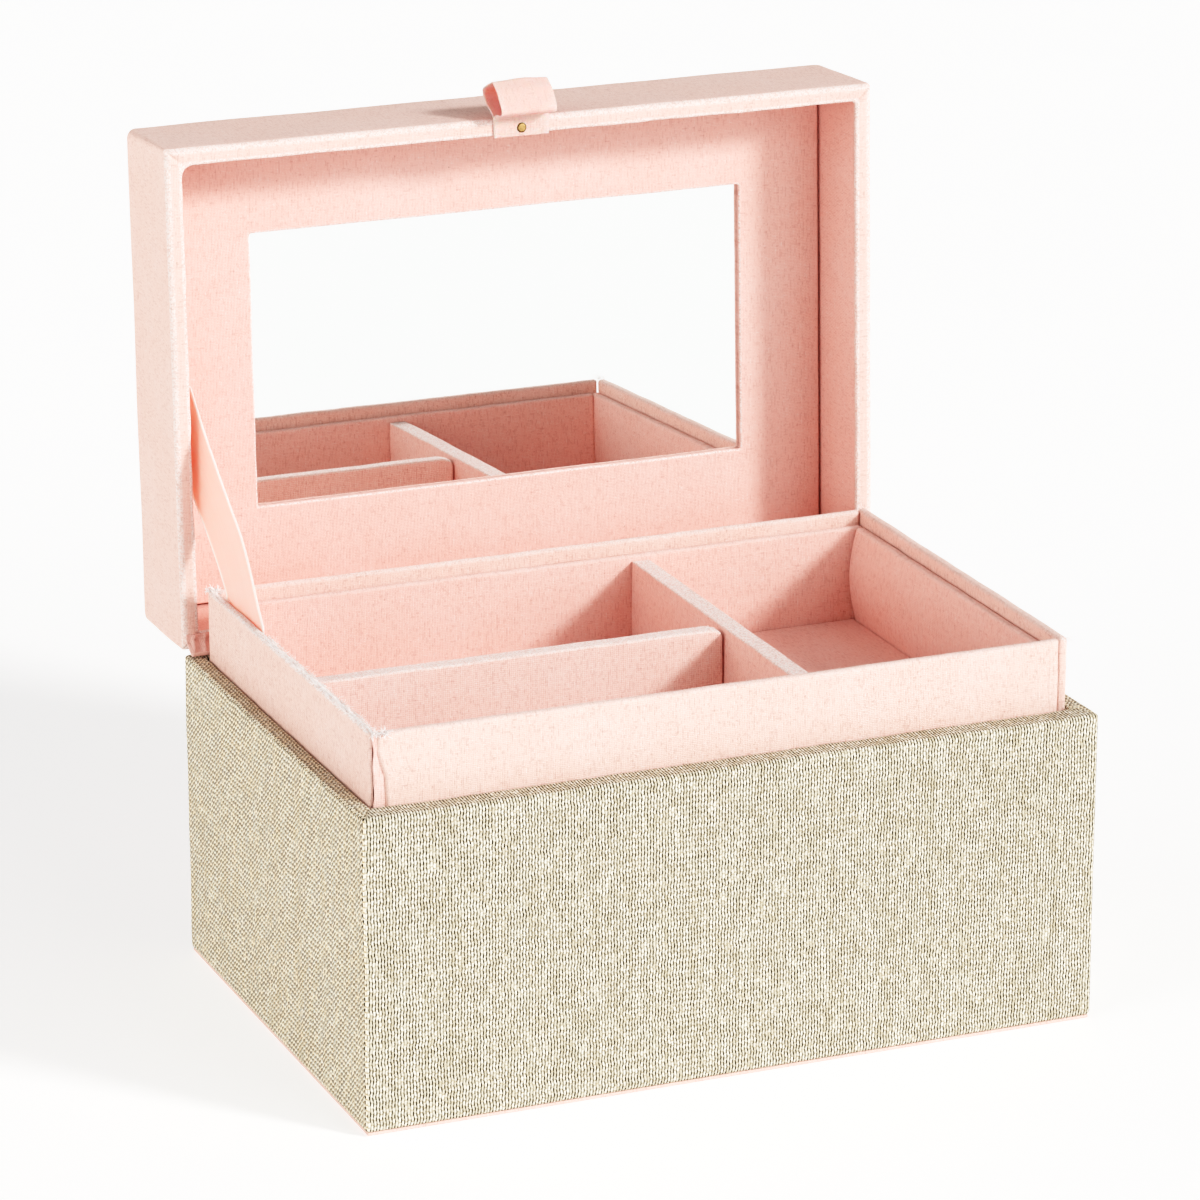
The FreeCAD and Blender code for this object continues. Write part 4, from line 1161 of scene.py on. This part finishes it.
# ------------------------------------------------------------------ loose threads
def thread(S, points, r0, r1):
    """A fine tapering three-sided tube through points."""
    last = None
    n = len(points)
    for k, p in enumerate(points):
        a, b = points[max(0, k - 1)], points[min(n - 1, k + 1)]
        d = (b - a).normalized()
        side = d.cross(Vector((0.31, 0.27, 0.91))).normalized()
        up = side.cross(d)
        r = r0 + (r1 - r0) * k / (n - 1)
        ring_ = []
        for i in range(3):
            ang = 2 * math.pi * i / 3
            ring_.append(S.add(p + side * (r * math.cos(ang)) + up * (r * math.sin(ang))))
        if last:
            for i in range(3):
                j = (i + 1) % 3
                S.face([last[i], last[j], ring_[j], ring_[i]], [(0, k), (1, k), (1, k + 1), (0, k + 1)])
        else:
            S.face(list(reversed(ring_)), [(0, 0), (1, 0), (0, 1)])
        last = ring_
    S.face(last, [(0, 0), (1, 0), (0, 1)])


FAR = 999.0
NECK_ROOM = ((-114.6, -FAR, -FAR), (FAR, 75.2, FAR))
CANVAS_ROOM = ((-FAR, -FAR, -FAR), (FAR, FAR, 100.6))


def tuft(S, at, out, length, spread_, r=0.05, steps=5, room=((-FAR,) * 3, (FAR,) * 3)):
    """One loose fibre from a point, heading out and wandering, and lying flat
    where it meets the room the closing lid leaves it."""
    d = Vector(out).normalized()
    p = Vector(at)
    pts = [p.copy()]
    for _ in range(steps):
        d = (d + Vector([rng.uniform(-spread_, spread_) for _ in range(3)])).normalized()
        p = p + d * (length / steps)
        p = Vector([min(max(c, a), b) for c, a, b in zip(p, *room)])
        pts.append(p.copy())
    thread(S, pts, r, r * 0.45)


def lying(S, ax, a0, a1, other, top, jitter, r):
    """A thread lying along an edge, in direction ax, weaving a little."""
    steps = max(4, int(abs(a1 - a0) / 1.6))
    off, lift = rng.uniform(-jitter, jitter), rng.uniform(0.0, 0.22)
    phase = rng.uniform(0, 9)
    pts = []
    for k in range(steps + 1):
        a = a0 + (a1 - a0) * k / steps
        o = other + off + 0.35 * wave(a, 2.4, phase)
        o = min(max(o, other - jitter * 1.1), other + jitter * 1.1)
        z = top - 0.36 * (abs(o - other) / 1.5) ** 2 * 1.4 + lift + 0.12 * wave(a, 1.7, phase + 3)
        pts.append(Vector((o, a, z)) if ax == 1 else Vector((a, o, z)))
    thread(S, pts, r, r * 0.7)


# neck: frayed white edge along the left, loose ends at the corners
S = Shape()
for y0, y1 in ((-71.0, 27.0), (60.5, 75.2)):
    steps = round((y1 - y0) / 0.25)
    last = None
    for k in range(steps + 1):
        y = y0 + (y1 - y0) * k / steps
        size = smooth(0, 4.0, y - y0 + 1.2) * smooth(0, 9.0 if y1 < 50 else 4.0, y1 - y + 0.3)
        wide = size * (0.55 + 0.45 * wave(y, 0.6, 81.0) + 0.3 * wave(y, 5.0, 82.0))
        tall = size * (0.24 + 0.24 * wave(y, 0.6, 83.0))
        row = []
        for i in range(10):
            ang = 2 * math.pi * i / 10
            bump = 1.0 + 0.7 * noise.noise(Vector((math.cos(ang) * 1.4, y * 1.3, math.sin(ang) * 1.4)))
            row.append(S.add((-112.5 + 0.25 * wave(y, 3.0, 84.0) + wide * bump * math.cos(ang), y, NECK_TOP - 0.12 + 0.18 * wave(y, 9.0, 3.0) + tall * bump * math.sin(ang))))
        if last:
            for i in range(10):
                j = (i + 1) % 10
                S.face([last[i], last[j], row[j], row[i]], [(i, k), (j, k), (j, k + 1), (i, k + 1)])
        else:
            S.face(list(reversed(row)), [(i, 0) for i in range(10)])
        last = row
    S.face(last, [(i, 0) for i in range(10)])
place(S.make("neck_frayed_edge", FLUFF), "base", "pink_panel")

S = Shape()
for _ in range(110):
    a = rng.uniform(-71, 24) if rng.random() < 0.85 else rng.uniform(60, 72)
    b = a + rng.uniform(2.5, 9)
    lying(S, 1, a, min(b, 74.5), -112.6, NECK_TOP + rng.uniform(0.2, 0.75), 1.45, rng.uniform(0.05, 0.12))
for _ in range(300):
    y = rng.uniform(-72, 26) if rng.random() < 0.85 else rng.uniform(61, 75)
    x = rng.choice((-113.6, -111.5)) + rng.uniform(-0.3, 0.3)
    tuft(S, (x, y, NECK_TOP - rng.uniform(-0.2, 0.3)), (math.copysign(0.8, x + 112.5), rng.uniform(-1, 1), rng.uniform(-0.4, 0.7)), rng.uniform(0.7, 2.1), 0.55, rng.uniform(0.05, 0.10), room=NECK_ROOM)
for x, y, n in ((-111.2, -71.4, 90), (-112.6, 74.0, 90), (112.4, -71.4, 14), (112.2, 74.0, 12)):
    for _ in range(n):
        at = (x + rng.uniform(-2.0, 2.6), y + rng.uniform(-0.9, 0.9), NECK_TOP - rng.uniform(-0.1, 0.5))
        tuft(S, at, (rng.uniform(-0.6, 0.8), math.copysign(rng.uniform(0.1, 0.9), y), rng.uniform(-0.5, 0.7)), rng.uniform(0.9, 3.0), 0.55, rng.uniform(0.09, 0.20) if x < 0 else 0.08, room=NECK_ROOM)
place(S.make("neck_loose_threads", FIBRE), "base", "pink_panel")

S = Shape()
for _ in range(110):
    x = rng.uniform(-110, 111)
    tuft(S, (x, -71.6 + rng.uniform(0, 2.2), NECK_TOP - 0.15), (rng.uniform(-1, 1), rng.uniform(-0.6, 0.3), rng.uniform(0.1, 0.7)), rng.uniform(0.5, 1.5), 0.5, 0.035)
for _ in range(90):
    x = rng.uniform(-110, 111)
    tuft(S, (x, 72.4 + rng.uniform(0, 2.2), NECK_TOP - 0.15), (rng.uniform(-1, 1), rng.uniform(-0.6, 0.3), rng.uniform(0.1, 0.7)), rng.uniform(0.5, 1.4), 0.5, 0.035)
for _ in range(70):
    y = rng.uniform(-70, 74)
    tuft(S, (111.4 + rng.uniform(0, 2.2), y, NECK_TOP - 0.15), (rng.uniform(-0.6, 0.4), rng.uniform(-1, 1), rng.uniform(0.1, 0.7)), rng.uniform(0.5, 1.4), 0.5, 0.035)
place(S.make("neck_pink_threads", PINK_FIBRE), "base", "pink_panel")

S = Shape()
for _ in range(130):
    x = rng.uniform(-106, 26)
    tuft(S, (x, -3.0 + rng.uniform(-2.4, 2.4), 116.2), (rng.uniform(-1, 1), rng.uniform(-0.7, 0.7), rng.uniform(0.1, 0.6)), rng.uniform(0.5, 1.6), 0.5, 0.04)
for _ in range(120):
    y = rng.uniform(-64, 67)
    tuft(S, (31.0 + rng.uniform(-2.4, 2.4), y, 116.2), (rng.uniform(-0.7, 0.7), rng.uniform(-1, 1), rng.uniform(0.1, 0.6)), rng.uniform(0.5, 1.6), 0.5, 0.04)
for _ in range(60):
    x = rng.uniform(-106, 106)
    tuft(S, (x, 70.0 + rng.uniform(-0.8, 0.4), TRAY_TOP - 0.1), (rng.uniform(-1, 1), rng.uniform(-0.7, 0.1), rng.uniform(0.1, 0.6)), rng.uniform(0.4, 1.1), 0.5, 0.035)
place(S.make("tray_loose_threads", FIBRE), "tray", "pink_panel")

S = Shape()
for _ in range(120):
    side = rng.random()
    room = ((-FAR,) * 3, (FAR,) * 3)
    if side < 0.35:
        at, out = (rng.uniform(-112, 112), rng.choice((155.5, 5.9)), rng.uniform(0.8, 1.9)), (rng.uniform(-1, 1), rng.uniform(-0.5, 0.5), -0.4)
        if at[1] < 80:
            room = ((-FAR,) * 3, (FAR, 5.98, FAR))
    elif side < 0.7:
        x = rng.choice((-114.6, 114.6))
        at, out = (x, rng.uniform(8, 153), rng.uniform(0.8, 1.9)), (-math.copysign(0.5, x), rng.uniform(-1, 1), -0.4)
        room = ((114.5, -FAR, -FAR), (FAR,) * 3) if x > 0 else ((-FAR,) * 3, (-114.5, FAR, FAR))
    elif side < 0.85:
        at, out = (rng.uniform(-84, 84), rng.choice((37.4, 126.6)), 29.8), (rng.uniform(-1, 1), rng.uniform(-0.4, 0.4), -0.3)
    else:
        at, out = (rng.choice((-85.1, 85.1)), rng.uniform(39, 125), 29.8), (rng.uniform(-0.4, 0.4), rng.uniform(-1, 1), -0.3)
    tuft(S, at, out, rng.uniform(0.5, 1.4), 0.5, 0.035, room=room)
place(S.make("lid_loose_threads", PINK_FIBRE, lid=True), "lid", "pink_cotton")

S = Shape()
for _ in range(150):
    if rng.random() < 0.6:
        x = rng.uniform(-114, 114)
        at, out = (x, -72.6 + rng.uniform(-0.5, 0.2), 99.7), (rng.uniform(-1, 1), -0.3, rng.uniform(0.1, 0.8))
    else:
        x = rng.choice((-114.5, 114.5))
        at, out = (x, rng.uniform(-72, 74), 99.7), (math.copysign(0.3, x), rng.uniform(-1, 1), rng.uniform(0.1, 0.8))
    tuft(S, at, out, rng.uniform(0.6, 1.8), 0.55, 0.06, room=CANVAS_ROOM)
for _ in range(24):
    at = (114.6 + rng.uniform(-0.5, 1.2), -72.2 + rng.uniform(-1.0, 0.6), 99.8)
    tuft(S, at, (rng.uniform(-0.2, 0.9), rng.uniform(-0.9, 0.4), rng.uniform(0.3, 1.0)), rng.uniform(1.0, 2.6), 0.5, 0.09, room=CANVAS_ROOM)
place(S.make("canvas_loose_threads", CANVAS_FIBRE), "base", "canvas")

# ------------------------------------------------------ CAD nodes that stay as they are
for name, mat in (
    ("base_floor_board", BOARD), ("base_front_board", BOARD), ("base_back_board", BOARD), ("base_left_board", BOARD),
    ("base_right_board", BOARD), ("lid_top_board", BOARD), ("lid_front_board", BOARD), ("lid_back_board", BOARD),
    ("lid_left_board", BOARD), ("lid_right_board", BOARD), ("mirror_spacer_frame", CARD), ("mirror_backing_card", CARD),
    ("mirror_glass", MIRROR),
):
    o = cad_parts[name]
    if not o.material_slots:
        o.data.materials.append(mat)
    for s in o.material_slots:
        s.material = mat

# --------------------------------------------------------------- floor, light, camera
T = Tree("pale_floor")
grain = T.noise(T.place(), 9.0, 3.0)
T.set(Base_Color=T.mix(grain, (0.66, 0.66, 0.655), (0.68, 0.68, 0.675)), Roughness=T.lerp(grain, 0.85, 0.95))
T.bsdf.inputs["Specular IOR Level"].default_value = 0.1
T.bsdf.inputs["Emission Color"].default_value = (1.0, 1.0, 1.0, 1.0)
T.bsdf.inputs["Emission Strength"].default_value = 0.46
me = bpy.data.meshes.new("floor")
me.from_pydata([(-9, -9, -0.0004), (9, -9, -0.0004), (9, 9, -0.0004), (-9, 9, -0.0004)], [], [(0, 1, 2, 3)])
me.materials.append(T.mat)
floor = bpy.data.objects.new("floor", me)
bpy.context.scene.collection.objects.link(floor)
floor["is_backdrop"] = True

scene = bpy.context.scene
scene.view_settings.view_transform = "Standard"
scene.view_settings.look = "None"
scene.view_settings.exposure = 0.0
scene.view_settings.gamma = 1.0
scene.cycles.max_bounces = 16
scene.cycles.diffuse_bounces = 10
# a photographic response: darker shadows and a soft shoulder towards white
scene.view_settings.use_curve_mapping = True
mapping = scene.view_settings.curve_mapping
mapping.use_clip = False
curve = mapping.curves[3]
for i in range(17):
    x = (i / 10.0) ** 1.5 if i < 16 else 3.0
    y = min(1.31 * x ** 1.6 / (x ** 1.6 + 0.31), 1.2)
    if i == 0:
        curve.points[0].location = (0.0, 0.0)
    elif i == 16:
        curve.points[-1].location = (x, y)
    else:
        curve.points.new(x, y)
mapping.update()

world = bpy.data.worlds.new("studio")
world.use_nodes = True
scene.world = world
tree = world.node_tree
back = tree.nodes["Background"]
heading = tree.nodes.new("ShaderNodeSeparateXYZ")
tree.links.new(tree.nodes.new("ShaderNodeTexCoord").outputs["Generated"], heading.inputs[0])
# white at the horizon, dim overhead
fade = tree.nodes.new("ShaderNodeMapRange")
fade.interpolation_type = "SMOOTHSTEP"
for i, value in enumerate((0.06, 0.34, 0.90, 0.19)):
    fade.inputs[i + 1].default_value = value
tree.links.new(heading.outputs[2], fade.inputs[0])
tree.links.new(fade.outputs[0], back.inputs[0])
back.inputs[1].default_value = 1.0


def sun(name, toward, strength, width, colour=(1, 1, 1)):
    """Even studio light from one side, softened over a wide angle."""
    light = bpy.data.lights.new(name, "SUN")
    light.energy, light.angle, light.color = strength * math.pi, math.radians(width), colour
    o = bpy.data.objects.new(name, light)
    d = Vector(toward).normalized()
    o.location = d * 2.0
    o.rotation_mode = "QUATERNION"
    o.rotation_quaternion = d.to_track_quat("Z", "Y")
    bpy.context.scene.collection.objects.link(o)
    return o


sun("key_low", (0.85, -1.0, 0.32), 0.10, 22.0)
sun("key", (0.85, -1.0, 0.66), 0.63, 10.0)
sun("front_fill", (0.35, -1.0, 0.60), 0.14, 24.0)
sun("left_fill", (-1.0, 0.30, 0.14), 0.25, 40.0, (1.0, 0.95, 0.90))
sun("top_left_fill", (-0.8, -0.15, 0.75), 0.08, 40.0)
sun("front_left_fill", (-1.0, -0.30, 0.22), 0.20, 40.0, (1.0, 0.95, 0.90))

camera = bpy.data.cameras.new("camera")
camera.sensor_width = 36.0
camera.sensor_fit = "HORIZONTAL"
camera.lens = 166.7
camera.clip_start, camera.clip_end = 0.05, 60.0
cam = bpy.data.objects.new("camera", camera)
az, el = math.radians(-22.628), math.radians(18.139)
b = Vector((math.sin(az) * math.cos(el), -math.cos(az) * math.cos(el), math.sin(el)))
r = Vector((math.cos(az), math.sin(az), 0.0))
u = b.cross(r)
turn = Matrix((r, u, b)).transposed().to_4x4()
turn.translation = Vector((-0.638039, -1.502065, 0.661635)) + r * 0.00032 + u * 0.00047
cam.matrix_world = turn
scene.collection.objects.link(cam)
scene.camera = cam

lo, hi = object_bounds()
